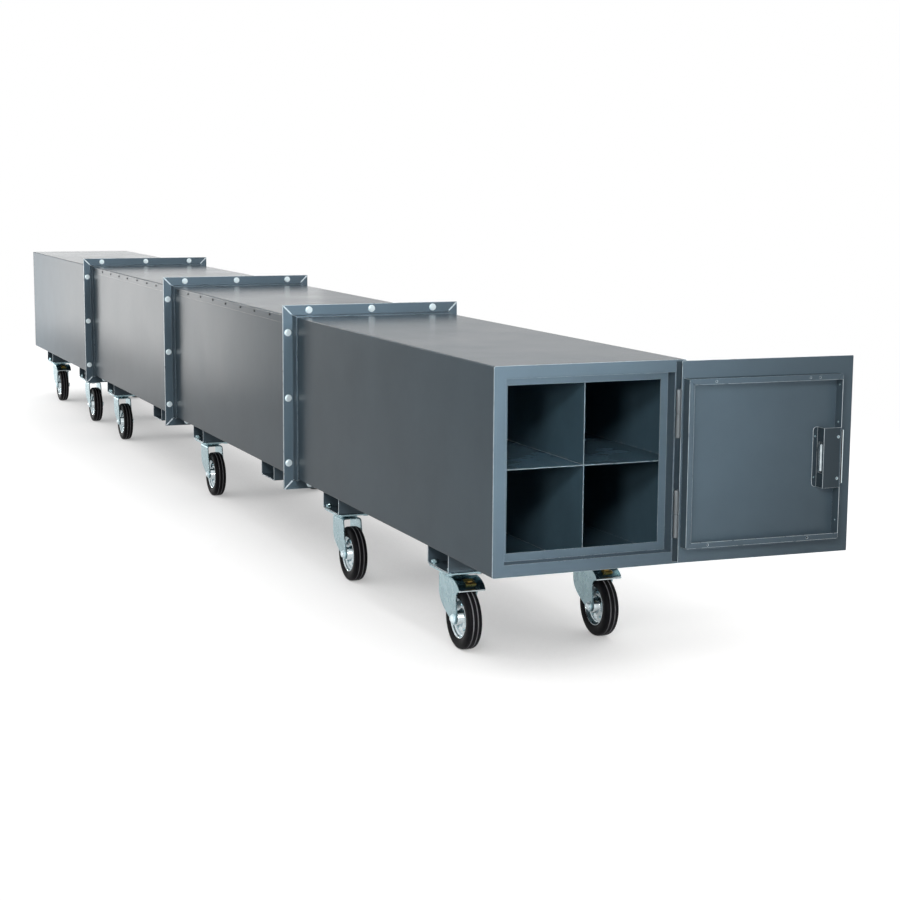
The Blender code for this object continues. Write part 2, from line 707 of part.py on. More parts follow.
def build_door_leaf(door, paint):
    """Flat outer skin and the folded pan behind it; on the free side the pan has a return only at the lock."""
    height = BOX_HEIGHT - DOOR_TOP_MARGIN - DOOR_BOTTOM_MARGIN
    outline = rounded_outline(DOOR_END - DOOR_START, height, 0.0, DOOR_CORNER_RADIUS, BEND_STEPS)
    mesh = finish_mesh("door_skin", extrusion_shape(outline, "y", -SHEET / 2, SHEET / 2))
    skin = add_part("door_skin", mesh, paint, door, ((DOOR_START + DOOR_END) / 2, 0.0, DOOR_BOTTOM_MARGIN))
    hole = KEY_RADIUS + BOLT_FIT
    key_hole = lathe_shape(((0, -SHEET), (hole, -SHEET), (hole, SHEET), (0, SHEET)), KEY_SEGMENTS, "y")
    key_hole = moved(key_hole, (PAN_END - KEY_SETBACK, 0.0, LOCK_Z))
    combine(skin, add_tool("key_hole", finish_mesh("key_hole", key_hole), door), "DIFFERENCE")
    low = LIP_WIDTH + PAN_BOTTOM_CLEARANCE
    pan_height = BOX_HEIGHT - LIP_WIDTH - PAN_TOP_CLEARANCE - low
    back = PAN_FACE + PAN_SHEET
    profile = (
        (0.0, PAN_BASE), (0.0, PAN_FACE), (PAN_RETURN, PAN_FACE), (PAN_RETURN, back),
        (PAN_SHEET, back), (PAN_SHEET, PAN_BASE),
    )
    mesh = finish_mesh("door_pan", frame_shape(PAN_END - PAN_START, pan_height, profile, 0.0, 0))
    pan = add_part("door_pan", mesh, paint, door, ((PAN_START + PAN_END) / 2, 0.0, low))
    half_slot = BOLT_THICKNESS / 2 + BOLT_FIT
    slot_low = (PAN_END - 2 * PAN_SHEET, BOLT_Y - half_slot, LOCK_Z - BOLT_HEIGHT / 2 - BOLT_FIT)
    slot_high = (PAN_END + PAN_SHEET, BOLT_Y + half_slot, LOCK_Z + BOLT_HEIGHT / 2 + BOLT_FIT)
    cuts = [box_shape(slot_low, slot_high)]
    lock_half = LOCK_COVER_HEIGHT / 2
    for bottom, top in (
        (low + PAN_RETURN, LOCK_Z - lock_half),
        (LOCK_Z + lock_half, low + pan_height - PAN_RETURN),
    ):
        inner = (PAN_END - PAN_RETURN - PAN_SHEET, PAN_FACE - PAN_SHEET, bottom)
        outer = (PAN_END - PAN_SHEET, back + PAN_SHEET, top)
        cuts.append(box_shape(inner, outer))
    tool = add_tool("pan_cuts", finish_mesh("pan_cuts", joined(cuts)), door)
    combine(pan, tool, "DIFFERENCE")


def lock_cover_mesh():
    """Bent bracket: a flange on the skin, a side wall with a slot, and a face over the pan's return."""
    seat = PAN_BASE - LOCK_COVER_SHEET
    face = PAN_FACE - GAP
    front = face - LOCK_COVER_SHEET
    wall = LOCK_COVER_START + LOCK_COVER_SHEET
    flange = LOCK_COVER_START - LOCK_FLANGE_WIDTH
    outline = (
        (flange, PAN_BASE), (flange, seat), (LOCK_COVER_START, seat), (LOCK_COVER_START, front),
        (LOCK_COVER_END, front), (LOCK_COVER_END, face), (wall, face), (wall, PAN_BASE),
    )
    half = LOCK_COVER_HEIGHT / 2
    shape = extrusion_shape(outline, "z", LOCK_Z - half, LOCK_Z + half)
    corners = [
        edge for edge in shape.edges
        if all(abs(vert.co.x - flange) < TIGHT_CORNER for vert in edge.verts)
        and abs(edge.verts[0].co.z - edge.verts[1].co.z) < TIGHT_CORNER
    ]
    bmesh.ops.bevel(shape, geom=corners, offset=LOCK_FLANGE_CORNER, segments=4, profile=0.5, affect="EDGES")
    return finish_mesh("lock_cover", shape)


def build_lock(door, paint, zinc):
    """Lock cover, sliding bolt with its carriage, and the key cylinder that throws it."""
    cover = add_part("lock_cover", lock_cover_mesh(), paint, door)
    slot_low = (LOCK_COVER_START - SHEET, BOLT_Y - LOCK_SLOT_DEPTH / 2, LOCK_Z - LOCK_SLOT_HEIGHT / 2)
    slot_high = (LOCK_COVER_START + 2 * SHEET, BOLT_Y + LOCK_SLOT_DEPTH / 2, LOCK_Z + LOCK_SLOT_HEIGHT / 2)
    slot = add_tool("cover_slot", finish_mesh("cover_slot", box_shape(slot_low, slot_high)), door)
    combine(cover, slot, "DIFFERENCE")
    carriage_start = LOCK_COVER_START + LOCK_COVER_SHEET + GAP
    carriage_end = carriage_start + CARRIAGE_WIDTH
    tip = PAN_END + BOLT_REACH
    carriage_half = CARRIAGE_DEPTH / 2
    bolt_half = BOLT_THICKNESS / 2
    carriage = box_shape(
        (carriage_start, BOLT_Y - carriage_half, LOCK_Z - CARRIAGE_HEIGHT / 2),
        (carriage_end, BOLT_Y + carriage_half, LOCK_Z + CARRIAGE_HEIGHT / 2))
    tongue = box_shape(
        (carriage_end - FUSE_DEPTH, BOLT_Y - bolt_half, LOCK_Z - BOLT_HEIGHT / 2),
        (tip, BOLT_Y + bolt_half, LOCK_Z + BOLT_HEIGHT / 2))
    bolt = add_part("lock_bolt", finish_mesh("lock_bolt", carriage), zinc, door)
    combine(bolt, add_tool("bolt_tongue", finish_mesh("bolt_tongue", tongue), door), "UNION")
    outside = SHEET / 2 + GAP
    inner_end = outside - KEY_DEPTH
    rose = outside + KEY_ROSE_HEIGHT
    key = lathe_shape(
        ((0, inner_end), (KEY_RADIUS, inner_end), (KEY_RADIUS, outside), (KEY_ROSE_RADIUS, outside),
         (KEY_ROSE_RADIUS, rose), (0, rose)), KEY_SEGMENTS, "y")
    place = (PAN_END - KEY_SETBACK, 0.0, LOCK_Z)
    add_part("key_cylinder", finish_mesh("key_cylinder", key), zinc, door, place)


def main():
    """Build the whole box."""
    clear_scene()
    paint = make_material("slate_powder_coat", (0.045, 0.055, 0.064), 0.38, 0.0)
    zinc = make_material("bright_zinc", (0.62, 0.66, 0.68), 0.28, 1.0)
    gold = make_material("yellow_zinc", (0.60, 0.45, 0.20), 0.32, 1.0)
    rubber = make_material("black_rubber", (0.018, 0.018, 0.019), 0.6, 0.0)
    centre_x, centre_y = model_centre()
    root = make_empty("pipe_box", None, (-centre_x, -centre_y, 0.0))
    build_sections(root, paint)
    build_dividers(root, paint)
    build_front_frame(root, paint)
    build_flanges(root, paint)
    build_channels(root, paint)
    build_castors(root, zinc, gold, rubber)
    door = make_empty("door_axis", root, (HINGE_X, HINGE_Y, UNDERSIDE), -DOOR_TURN)
    build_hinges(root, door, paint)
    build_door_leaf(door, paint)
    build_lock(door, paint, zinc)


if __name__ == "__main__":
    main()
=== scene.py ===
"""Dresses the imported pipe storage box: painted sheetwork, bolted flanges, castors, door and lock."""

import json
import math

import bmesh
import bpy
from bpy.props import FloatProperty, FloatVectorProperty, IntProperty, PointerProperty
from bpy.types import Operator, Panel, PropertyGroup
from mathutils import Matrix, Vector


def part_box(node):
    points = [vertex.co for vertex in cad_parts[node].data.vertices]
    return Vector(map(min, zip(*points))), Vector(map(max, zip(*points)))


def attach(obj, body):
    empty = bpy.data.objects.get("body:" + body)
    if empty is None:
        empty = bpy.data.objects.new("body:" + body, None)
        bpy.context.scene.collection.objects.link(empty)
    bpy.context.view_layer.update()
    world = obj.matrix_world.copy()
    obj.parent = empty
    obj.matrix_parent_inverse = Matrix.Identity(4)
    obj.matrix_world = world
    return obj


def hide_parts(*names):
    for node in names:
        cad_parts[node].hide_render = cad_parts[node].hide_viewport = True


bl_info = {
    "name": "Pipe storage box",
    "version": (1, 0, 0),
    "blender": (4, 5, 0),
    "location": "3D View > Sidebar > Pipe Box",
    "description": "Builds the looks of a flanged pipe storage box on castors around its solids",
    "category": "Object",
}

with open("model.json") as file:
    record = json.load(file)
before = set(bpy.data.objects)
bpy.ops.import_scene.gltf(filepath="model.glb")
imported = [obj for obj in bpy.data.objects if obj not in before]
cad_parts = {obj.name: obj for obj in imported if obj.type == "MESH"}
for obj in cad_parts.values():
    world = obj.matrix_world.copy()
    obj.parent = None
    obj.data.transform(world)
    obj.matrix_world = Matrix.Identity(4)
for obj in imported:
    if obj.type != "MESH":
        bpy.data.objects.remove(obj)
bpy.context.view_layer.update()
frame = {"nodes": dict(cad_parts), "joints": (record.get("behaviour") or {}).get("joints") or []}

NODES = frame["nodes"]
JOINTS = {joint["name"]: joint for joint in frame["joints"]}
SIDES = ("left", "right")
SECTIONS = (1, 2, 3, 4)
SEAMS = SECTIONS[:-1]
STATIONS = (1, 2, 3, 4, 5, 6)

SHELL_LOW, SHELL_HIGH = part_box("section_2_shell")
BOX_WIDTH = SHELL_HIGH.x - SHELL_LOW.x
BOX_HEIGHT = SHELL_HIGH.z - SHELL_LOW.z
BOX_X = (SHELL_LOW.x + SHELL_HIGH.x) / 2
UNDERSIDE = SHELL_LOW.z
ROOF = SHELL_HIGH.z
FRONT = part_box("front_frame")[0].y

# Lengths are in metres.
GAP = 0.0003
MERGE_DISTANCE = 0.00001
FLAT_ANGLE = math.radians(0.5)
SHARP_DEG = 42.0
FASTENER_SMOOTH_DEG = 25.0
CUT_MARGIN = 0.01
BEAD_RISE = 0.22
FLANGE_LEG = SHELL_LOW.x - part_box("flange_1_front")[0].x
FLANGE_THICKNESS = 0.004
FLANGE_SIDE_LEG = 0.040
FLANGE_ROOT = 0.005
FLANGE_BOLT_INSET = 0.0485
FLANGE_WASHER_HEIGHT = 0.0014
FLANGE_NUT_HEIGHT = 0.0095
FLANGE_WELD_STOP = 0.0036

FOLD_RADIUS = 0.003
FOLD_TOLERANCE = 0.0006
LIP_DEPTH = 0.027
LIP_SHEET = 0.0008
LIP_TOP = 0.004
LIP_RIVET_INSET = 0.04
LIP_RIVET_STRAY = (0.0, 0.012, 0.0015)

CHANNEL_SHEET = 0.003
CHANNEL_BEND = 0.006
PLATE_LENGTH = 0.136
PLATE_WIDTH = 0.102
PLATE_THICKNESS = 0.005
PLATE_CORNER = 0.012
PLATE_BOLT_ACROSS = 0.038
PLATE_BOLT_ALONG = 0.054
PLATE_BOLT_FLATS = 0.016
STITCH_SHARES = (0.12, 0.5, 0.88)
STITCH_HALF = 0.025
STITCH_DROP = 0.0008

WHEEL_RADIUS = JOINTS["roll_1_left"]["pos_m"][2]
CASTOR_TRAIL = JOINTS["swivel_1_left"]["pos_m"][1] - JOINTS["roll_1_left"]["pos_m"][1]
CROWN_TOP = JOINTS["brake_1_left"]["pos_m"][2]
FORK_HALF = 0.029
FORK_SHEET = 0.004
FORK_SHOULDER = 0.009
FORK_REAR = 0.046
FORK_FRONT = 0.040
FORK_STRAIGHT = 0.045
BOSS_RADIUS = 0.016
CHEEK_REACH = 0.062
CHEEK_DEPTH = 0.010
CHEEK_DROP = 0.030
RACE_RADIUS = 0.040
RACE_HEIGHT = 0.0107
HUB_RADIUS = 0.019
RIM_RADIUS = 0.0515
RIM_RIVETS = 5
RIM_RIVET_CIRCLE = 0.0335
RIM_RIVET_OUT = 0.0074
AXLE_RADIUS = 0.006
AXLE_FLATS = 0.018
PEDAL_WIDTH = 0.072
PEDAL_SHEET = 0.003
PEDAL_LIP = 0.003
PEDAL_SETBACK = 0.006
PEDAL_ROLL = 0.0030
PEDAL_ROLL_INSET = 0.001
HOOD_END_DEG = 74.0
TONGUE_WIDTH = 0.026

DOOR_ACROSS = Vector(JOINTS["bolt_throw"]["axis"])
DOOR_OUTWARD = Vector((-DOOR_ACROSS.y, DOOR_ACROSS.x, 0.0))
DOOR_AXIS = Vector((*JOINTS["door_hinge"]["pos_m"][:2], UNDERSIDE))
DOOR_PLACE = Matrix.Translation(DOOR_AXIS) @ Matrix(
    (DOOR_ACROSS, DOOR_OUTWARD, Vector((0.0, 0.0, 1.0)))
).transposed().to_4x4()
PAN_START = 0.0125
PAN_END = 0.4385
PAN_LOW = 0.041
PAN_HIGH = 0.455
PAN_FACE = -0.0313
PAN_SHEET = 0.0015
PAN_RETURN = 0.014
PAN_BASE = -0.0013
PAN_HOLE_RADIUS = 0.0026
PAN_HOLE_INSET = 0.007
PAN_HOLES_TOP = (0.085, 0.345, 0.372)
PAN_HOLES_BASE = (0.072, 0.350)
TRAY_SCREW_HEIGHTS = (0.427, 0.333, 0.086)
TRAY_SCREW_DEPTH = -0.017
LOCK_Z = 0.246
LOCK_WALL = 0.3875
LOCK_BAR_RADIUS = 0.0066
LOCK_BAR_HEIGHT = 0.070
LOCK_BAR_SETBACK = 0.0028
LOCK_BAR_CHAMFER = 0.002
LOCK_SCREW_RISE = 0.052
LOCK_SCREW_INSET = 0.010
LOCK_FOOT_SCREW_INSET = 0.0065
LOCK_POCKET_DEPTH = 0.0014
LOCK_NOSE = 0.0024
LOCK_BOLT_DEPTH = 0.0174
LOCK_FACE = -0.0331
KEY_FACE = 0.0043
HINGE_RADIUS = 0.007
HINGE_LENGTH = 0.118
HINGE_CENTRES = (0.123, 0.369)
STRIP_DEPTH = 0.0010
STRIP_END = 0.004

COAT_GRAIN = (0.04, 0.0003)
PLATING_GRAIN = (0.10, 0.0002)
RUBBED_LENGTH = 1.2
# Pale grey of the tyre grooves: partly floor dust, partly a painted highlight.
GROOVE_DUST_AND_HIGHLIGHT = (0.26, 0.26, 0.28)
DARK_STEEL_LIGHT = (0.020, 0.022, 0.025)
DARK_STEEL_DARK = (0.008, 0.009, 0.010)

CAMERA_PLACE = (-2.16937, -6.88144, 1.19805)
CAMERA_YAW = math.radians(22.448)
CAMERA_PITCH = math.radians(8.670)
CAMERA_ROLL = math.radians(0.356)
FLOOR_OVAL = (3.2, 6.4, 1.0)
FLOOR_RADIUS = 14.0
FLOOR_SHADE = 0.25
FRONT_SPREAD_DEG = 19.0
# Each lamp's place, target, size and colour; its power is a setting of the same name.
LAMPS = {
    "overhead": ((0.5, 0.0, 5.0), (0.0, 0.0, 0.0), (6.0, 9.0), (1.0, 0.95, 0.89)),
    "left": ((-4.0, -7.0, 1.6), (-0.3, -2.6, 0.5), (0.9, 0.7), (1.0, 0.97, 0.93)),
    "right": ((4.6, 0.8, 2.0), (0.25, 0.2, 0.5), (3.0, 1.0), (1.0, 0.98, 0.96)),
    "rim": ((-2.5, 9.5, 4.2), (-0.3, -1.0, 0.7), (1.6, 0.6), (1.0, 0.97, 0.93)),
    "side_card": ((-1.45, 5.0, 0.46), (0.0, 5.0, 0.46), (5.0, 0.9), (1.0, 1.0, 0.99)),
    "roof_card": ((1.6, 8.5, 1.25), (0.0, 1.0, 0.75), (2.6, 0.9), (1.0, 1.0, 0.98)),
    "kick": ((-2.6, -6.8, 2.8), (0.0, -3.0, 0.5), (0.8, 0.8), (1.0, 0.98, 0.96)),
    "front": ((-0.45, -11.0, 1.6), (-0.92, -3.0, 0.98), (1.2, 0.8), (0.98, 0.99, 1.0)),
}


class PaintSettings(PropertyGroup):
    """Colours and gloss of the powder coat."""

    outside: FloatVectorProperty(
        name="Outside", description="Powder coat on the outside and the door",
        subtype="COLOR", size=3, min=0.0, max=1.0, default=(0.075, 0.109, 0.137))
    inside: FloatVectorProperty(
        name="Inside", description="Powder coat inside the compartments",
        subtype="COLOR", size=3, min=0.0, max=1.0, default=(0.068, 0.124, 0.165))
    # Pale colour of the painted highlights along folds and sheet edges; the hinge barrels take a dark share
    # of it.
    edge: FloatVectorProperty(
        name="Edges", description="Coat worn thin along folds and sheet edges",
        subtype="COLOR", size=3, min=0.0, max=1.0, default=(0.58, 0.66, 0.71))
    scuff: FloatVectorProperty(
        name="Scuffs", description="Rubbed marks where pipes slide in and out",
        subtype="COLOR", size=3, min=0.0, max=1.0, default=(0.20, 0.23, 0.25))
    roughness: FloatProperty(
        name="Roughness", description="How matt the coat is",
        subtype="FACTOR", min=0.0, max=1.0, default=0.22)


class HardwareSettings(PropertyGroup):
    """Finishes and sizes of the fittings."""

    zinc: FloatVectorProperty(
        name="Zinc", description="Bright zinc plating",
        subtype="COLOR", size=3, min=0.0, max=1.0, default=(0.34, 0.47, 0.51))
    zinc_shade: FloatVectorProperty(
        name="Zinc shade", description="Darker patches in the plating",
        subtype="COLOR", size=3, min=0.0, max=1.0, default=(0.27, 0.385, 0.42))
    # Dark blue plating of the brake hoods, darker than the forks' zinc.
    blue_zinc: FloatVectorProperty(
        name="Blue zinc", description="Dark blue passivated plating of the brake hoods",
        subtype="COLOR", size=3, min=0.0, max=1.0, default=(0.14, 0.25, 0.28))
    bare_zinc: FloatVectorProperty(
        name="Bare zinc", description="Pale plating of the rims, bolts and lock",
        subtype="COLOR", size=3, min=0.0, max=1.0, default=(0.62, 0.70, 0.73))
    yellow_zinc: FloatVectorProperty(
        name="Yellow zinc", description="Yellow passivated plating",
        subtype="COLOR", size=3, min=0.0, max=1.0, default=(0.56, 0.38, 0.10))
    yellow_shade: FloatVectorProperty(
        name="Yellow shade", description="Duller patches in the yellow plating",
        subtype="COLOR", size=3, min=0.0, max=1.0, default=(0.26, 0.17, 0.06))
    rubber: FloatVectorProperty(
        name="Rubber", description="Tyre rubber",
        subtype="COLOR", size=3, min=0.0, max=1.0, default=(0.004, 0.004, 0.005))
    bolt_flats: FloatProperty(
        name="Bolt head", description="Flange bolt head across its flats",
        unit="LENGTH", subtype="DISTANCE", min=0.005, max=0.05, default=0.018)
    bolt_height: FloatProperty(
        name="Head height", description="Height of a flange bolt head",
        unit="LENGTH", subtype="DISTANCE", min=0.002, max=0.02, default=0.0065)
    washer: FloatProperty(
        name="Washer", description="Washer diameter under a flange bolt",
        unit="LENGTH", subtype="DISTANCE", min=0.005, max=0.06, default=0.0225)
    bead_width: FloatProperty(
        name="Weld width", description="Width of the weld beads",
        unit="LENGTH", subtype="DISTANCE", min=0.001, max=0.02, default=0.005)
    bead_pitch: FloatProperty(
        name="Weld pitch", description="Distance between the ripples of a weld",
        unit="LENGTH", subtype="DISTANCE", min=0.0005, max=0.01, default=0.0016)
    dot_pitch: FloatProperty(
        name="Lip rivets", description="Distance between the rivets of the lid lips",
        unit="LENGTH", subtype="DISTANCE", min=0.02, max=0.5, default=0.16)
    seed: IntProperty(name="Seed", description="Seed of all the small irregularities", default=7)


class StudioSettings(PropertyGroup):
    """Floor, lamps and camera."""

    floor: FloatVectorProperty(
        name="Floor", description="Colour of the studio floor",
        subtype="COLOR", size=3, min=0.0, max=1.0, default=(0.45, 0.45, 0.45))
    floor_lift: FloatProperty(
        name="Floor lift", description="Extra brightness of the floor as the camera sees it",
        min=0.0, max=1.0, default=0.97)
    surround: FloatProperty(
        name="Surround", description="Brightness of the room's light",
        min=0.0, max=2.0, default=0.18)
    overhead: FloatProperty(
        name="Overhead", description="Power of the overhead lamp",
        unit="POWER", min=0.0, max=2000.0, default=36.0)
    front: FloatProperty(
        name="Front", description="Power of the front lamp",
        unit="POWER", min=0.0, max=2000.0, default=20.0)
    left: FloatProperty(
        name="Left", description="Power of the lamp on the left",
        unit="POWER", min=0.0, max=2000.0, default=65.0)
    right: FloatProperty(
        name="Right", description="Power of the lamp on the right, for the far side",
        unit="POWER", min=0.0, max=2000.0, default=81.0)
    kick: FloatProperty(
        name="Kick", description="Power of the small high lamp on the left that draws the edges",
        unit="POWER", min=0.0, max=2000.0, default=96.0)
    side_card: FloatProperty(
        name="Side card", description="Power of the lit card that the far side panels reflect",
        unit="POWER", min=0.0, max=2000.0, default=42.0)
    roof_card: FloatProperty(
        name="Roof card", description="Power of the lit card that the far roof reflects",
        unit="POWER", min=0.0, max=2000.0, default=5.5)
    rim: FloatProperty(
        name="Rim", description="Power of the lamp behind the box",
        unit="POWER", min=0.0, max=2000.0, default=90.0)
    lens: FloatProperty(
        name="Lens", description="Focal length on a 36 mm sensor",
        unit="CAMERA", min=10.0, max=300.0, default=73.604)


def feed(tree, node, inputs):
    """Set a node's inputs: each takes a value or another node's output."""
    for key, value in inputs.items():
        if isinstance(value, bpy.types.NodeSocket):
            tree.links.new(value, node.inputs[key])
        else:
            node.inputs[key].default_value = value


def add_node(tree, kind, inputs=None, **settings):
    """A node with its settings and its inputs."""
    node = tree.nodes.new(kind)
    for key, value in settings.items():
        setattr(node, key, value)
    feed(tree, node, inputs or {})
    return node


def maths(tree, operation, *values):
    """The outcome of a sum over values or other nodes' outputs."""
    return add_node(tree, "ShaderNodeMath", dict(enumerate(values)), operation=operation).outputs[0]


def remap(tree, value, low=0.0, high=1.0, to_low=0.0, to_high=1.0):
    """A value carried from one range to another and held inside it."""
    return add_node(tree, "ShaderNodeMapRange", {
        "Value": value, "From Min": low, "From Max": high, "To Min": to_low, "To Max": to_high,
    }).outputs["Result"]


def noise(tree, place, scale, detail, roughness=0.5):
    """Soft noise between none and one."""
    return add_node(tree, "ShaderNodeTexNoise", {
        "Vector": place, "Scale": scale, "Detail": detail, "Roughness": roughness,
    }).outputs["Fac"]


def blend(tree, factor, first, second):
    """A second colour laid over the first by a factor."""
    mix = add_node(tree, "ShaderNodeMix", {"Factor": factor, 6: first, 7: second}, data_type="RGBA")
    return mix.outputs[2]


def height_in(tree, vector):
    """The upright part of a place or a normal."""
    return add_node(tree, "ShaderNodeSeparateXYZ", {0: vector}).outputs["Z"]


def add_sockets(tree, direction, sockets):
    """Named sockets on a group: (name, kind, default or None)."""
    for name, kind, default in sockets:
        socket = tree.interface.new_socket(name, in_out=direction, socket_type="NodeSocket" + kind)
        if default is not None:
            socket.default_value = default


def new_group(name, kind, inputs, outputs):
    """An empty node group with named sockets; its input sockets and its output node come with it."""
    tree = bpy.data.node_groups.new(name, kind)
    add_sockets(tree, "INPUT", inputs)
    add_sockets(tree, "OUTPUT", [(output, socket, None) for output, socket in outputs])
    return tree, tree.nodes.new("NodeGroupInput").outputs, tree.nodes.new("NodeGroupOutput")


def drift_group():
    """Shader group: slow changes of tone and gloss, and a fine grain in the surface."""
    if "surface_drift" in bpy.data.node_groups:
        return bpy.data.node_groups["surface_drift"]
    tree, given, result = new_group("surface_drift", "ShaderNodeTree", (
        ("Light", "Color", (0.8, 0.8, 0.8, 1.0)), ("Dark", "Color", (0.2, 0.2, 0.2, 1.0)),
        ("Patch Scale", "Float", 5.0), ("Grain Scale", "Float", 400.0),
        ("Low Roughness", "Float", 0.3), ("High Roughness", "Float", 0.4),
    ), (("Color", "Color"), ("Roughness", "Float"), ("Height", "Float")))
    place = add_node(tree, "ShaderNodeTexCoord").outputs["Object"]
    spread = remap(tree, noise(tree, place, given["Patch Scale"], 4.0, 0.6), 0.32, 0.68)
    grain = noise(tree, place, given["Grain Scale"], 2.0)
    gloss = maths(tree, "MULTIPLY_ADD", grain, 0.25, maths(tree, "MULTIPLY", spread, 0.75))
    feed(tree, result, {
        "Color": blend(tree, spread, given["Dark"], given["Light"]),
        "Roughness": remap(tree, gloss, 0.0, 1.0, given["Low Roughness"], given["High Roughness"]),
        "Height": grain,
    })
    return tree


def scuff_group():
    """Shader group: fine scratches drawn out along the box, in loose patches."""
    tree, given, result = new_group("long_scuffs", "ShaderNodeTree", (
        ("Fineness", "Float", 160.0), ("Stretch", "Float", 0.03), ("Patch Scale", "Float", 6.0),
        ("Bare Share", "Float", 0.55),
    ), (("Mask", "Float"),))
    coordinates = add_node(tree, "ShaderNodeTexCoord").outputs
    place = coordinates["Object"]
    level = remap(tree, height_in(tree, coordinates["Normal"]), 0.3, 0.8, 0.08, 1.0)
    pull = add_node(tree, "ShaderNodeCombineXYZ", {"X": 1.0, "Y": given["Stretch"], "Z": 1.0})
    drawn = add_node(tree, "ShaderNodeVectorMath", {0: place, 1: pull.outputs[0]}, operation="MULTIPLY")
    lines = remap(tree, noise(tree, drawn.outputs[0], given["Fineness"], 2.0), 0.56, 0.70)
    worn = remap(tree, noise(tree, place, given["Patch Scale"], 3.0), given["Bare Share"], 0.75)
    marks = maths(tree, "MULTIPLY", lines, worn)
    feed(tree, result, {"Mask": maths(tree, "MULTIPLY", marks, level)})
    return tree


def corner_rub_group():
    """Shader group: broken pale rub lines on the walls, just above the shelf and the floor."""
    tree, given, result = new_group("corner_rubs", "ShaderNodeTree", (
        ("Shelf", "Float", 0.5), ("Floor", "Float", 0.25), ("Reach", "Float", 0.007),
    ), (("Mask", "Float"),))
    coordinates = add_node(tree, "ShaderNodeTexCoord").outputs
    place = coordinates["Object"]
    height = height_in(tree, place)
    level = maths(tree, "ABSOLUTE", height_in(tree, coordinates["Normal"]))
    wall = remap(tree, level, 0.3, 0.7, 1.0, 0.0)
    bands = []
    for plane in ("Shelf", "Floor"):
        above = maths(tree, "SUBTRACT", height, given[plane])
        inside = maths(tree, "GREATER_THAN", above, 0.0)
        band = remap(tree, above, 0.0, given["Reach"], 1.0, 0.0)
        bands.append(maths(tree, "MULTIPLY", band, inside))
    broken = remap(tree, noise(tree, place, 70.0, 4.0), 0.42, 0.62)
    line = maths(tree, "MULTIPLY", maths(tree, "MAXIMUM", *bands), broken)
    feed(tree, result, {"Mask": maths(tree, "MULTIPLY", line, wall)})
    return tree


def tinted(colour, share=1.0):
    """A colour made lighter or darker."""
    return (*(min(channel * share, 1.0) for channel in colour), 1.0)


def drifting(name, tones, roughness, scales, grain=None, metallic=0.0, specular=0.5, overlay=None):
    """A finish that drifts between two tones, over a mean roughness and its spread.

    The scales are those of its patches and its grain, grain is the strength and depth of its bump,
    and overlay lays more colour over the drifting one.
    """
    material = bpy.data.materials.new(name)
    material.use_nodes = True
    tree = material.node_tree
    shader = tree.nodes["Principled BSDF"]
    light, dark = tones
    mean, spread = roughness
    patch_scale, grain_scale = scales
    surface = add_node(tree, "ShaderNodeGroup", {
        "Light": light, "Dark": dark, "Patch Scale": patch_scale, "Grain Scale": grain_scale,
        "Low Roughness": mean - spread, "High Roughness": mean + spread,
    }, node_tree=drift_group()).outputs
    feed(tree, shader, {
        "Base Color": overlay(tree, surface["Color"]) if overlay else surface["Color"],
        "Roughness": surface["Roughness"], "Metallic": metallic, "Specular IOR Level": specular,
    })
    if grain:
        strength, depth = grain
        bump = add_node(tree, "ShaderNodeBump", {
            "Height": surface["Height"], "Strength": strength, "Distance": depth})
        feed(tree, shader, {"Normal": bump.outputs["Normal"]})
    return material


def make_slate_coat(scene, name, specular, share):
    """Slate powder coat with its orange peel and faint mottle, at a share of its brightness."""
    paint = scene.pipe_box_paint
    tones = (tinted(paint.outside, 1.07 * share), tinted(paint.outside, 0.93 * share))
    return drifting(name, tones, (paint.roughness, 0.02), (4.0, 300.0), COAT_GRAIN, specular=specular)


def make_gloss_paint(scene):
    """The coat on the hinge barrels, polished by use."""
    edge = scene.pipe_box_paint.edge
    tones = (tinted(edge, 0.28), tinted(edge, 0.24))
    return drifting("slate_coat_gloss", tones, (0.18, 0.03), (12.0, 300.0), metallic=0.5)


def make_edge_highlight_paint(scene):
    """Painted highlight along folds and sheet edges: a pale, metallic coat on the bevel faces."""
    edge = scene.pipe_box_paint.edge
    tones = (tinted(edge, 1.15), tinted(edge, 0.8))
    return drifting("slate_coat_edges", tones, (0.30, 0.05), (40.0, 300.0), metallic=0.7)


def make_inside_paint(scene):
    """The coat inside, rubbed by pipes near the mouth."""
    paint = scene.pipe_box_paint

    def rubbed(tree, coat):
        """The coat with its scratches and rub lines, fewer further in."""
        scuffs = add_node(tree, "ShaderNodeGroup", node_tree=scuff_group())
        rubs = add_node(tree, "ShaderNodeGroup", {
            "Shelf": (UNDERSIDE + ROOF) / 2, "Floor": UNDERSIDE}, node_tree=corner_rub_group())
        place = add_node(tree, "ShaderNodeTexCoord").outputs["Object"]
        along = add_node(tree, "ShaderNodeSeparateXYZ", {0: place}).outputs["Y"]
        near = remap(tree, along, FRONT, FRONT + RUBBED_LENGTH, 0.7, 0.1)
        marks = maths(tree, "MAXIMUM", scuffs.outputs["Mask"], rubs.outputs["Mask"])
        return blend(tree, maths(tree, "MULTIPLY", marks, near), coat, tinted(paint.scuff))

    tones = (tinted(paint.inside, 1.08), tinted(paint.inside, 0.90))
    return drifting(
        "slate_coat_inside", tones, (paint.roughness, 0.03), (6.0, 300.0), COAT_GRAIN,
        specular=0.10, overlay=rubbed)


def make_zinc(scene):
    """Bright zinc plating with bluish patches and fine scratches."""
    hardware = scene.pipe_box_hardware
    tones = (tinted(hardware.zinc), tinted(hardware.zinc_shade))
    return drifting("bright_plating", tones, (0.27, 0.07), (38.0, 900.0), PLATING_GRAIN, metallic=1.0)


def make_blue_zinc(scene):
    """Dark blue plating of the brake hoods, darker than the forks' zinc."""
    zinc = scene.pipe_box_hardware.blue_zinc
    tones = (tinted(zinc, 1.4), tinted(zinc, 0.6))
    return drifting("blue_plating", tones, (0.24, 0.06), (60.0, 900.0), metallic=1.0)


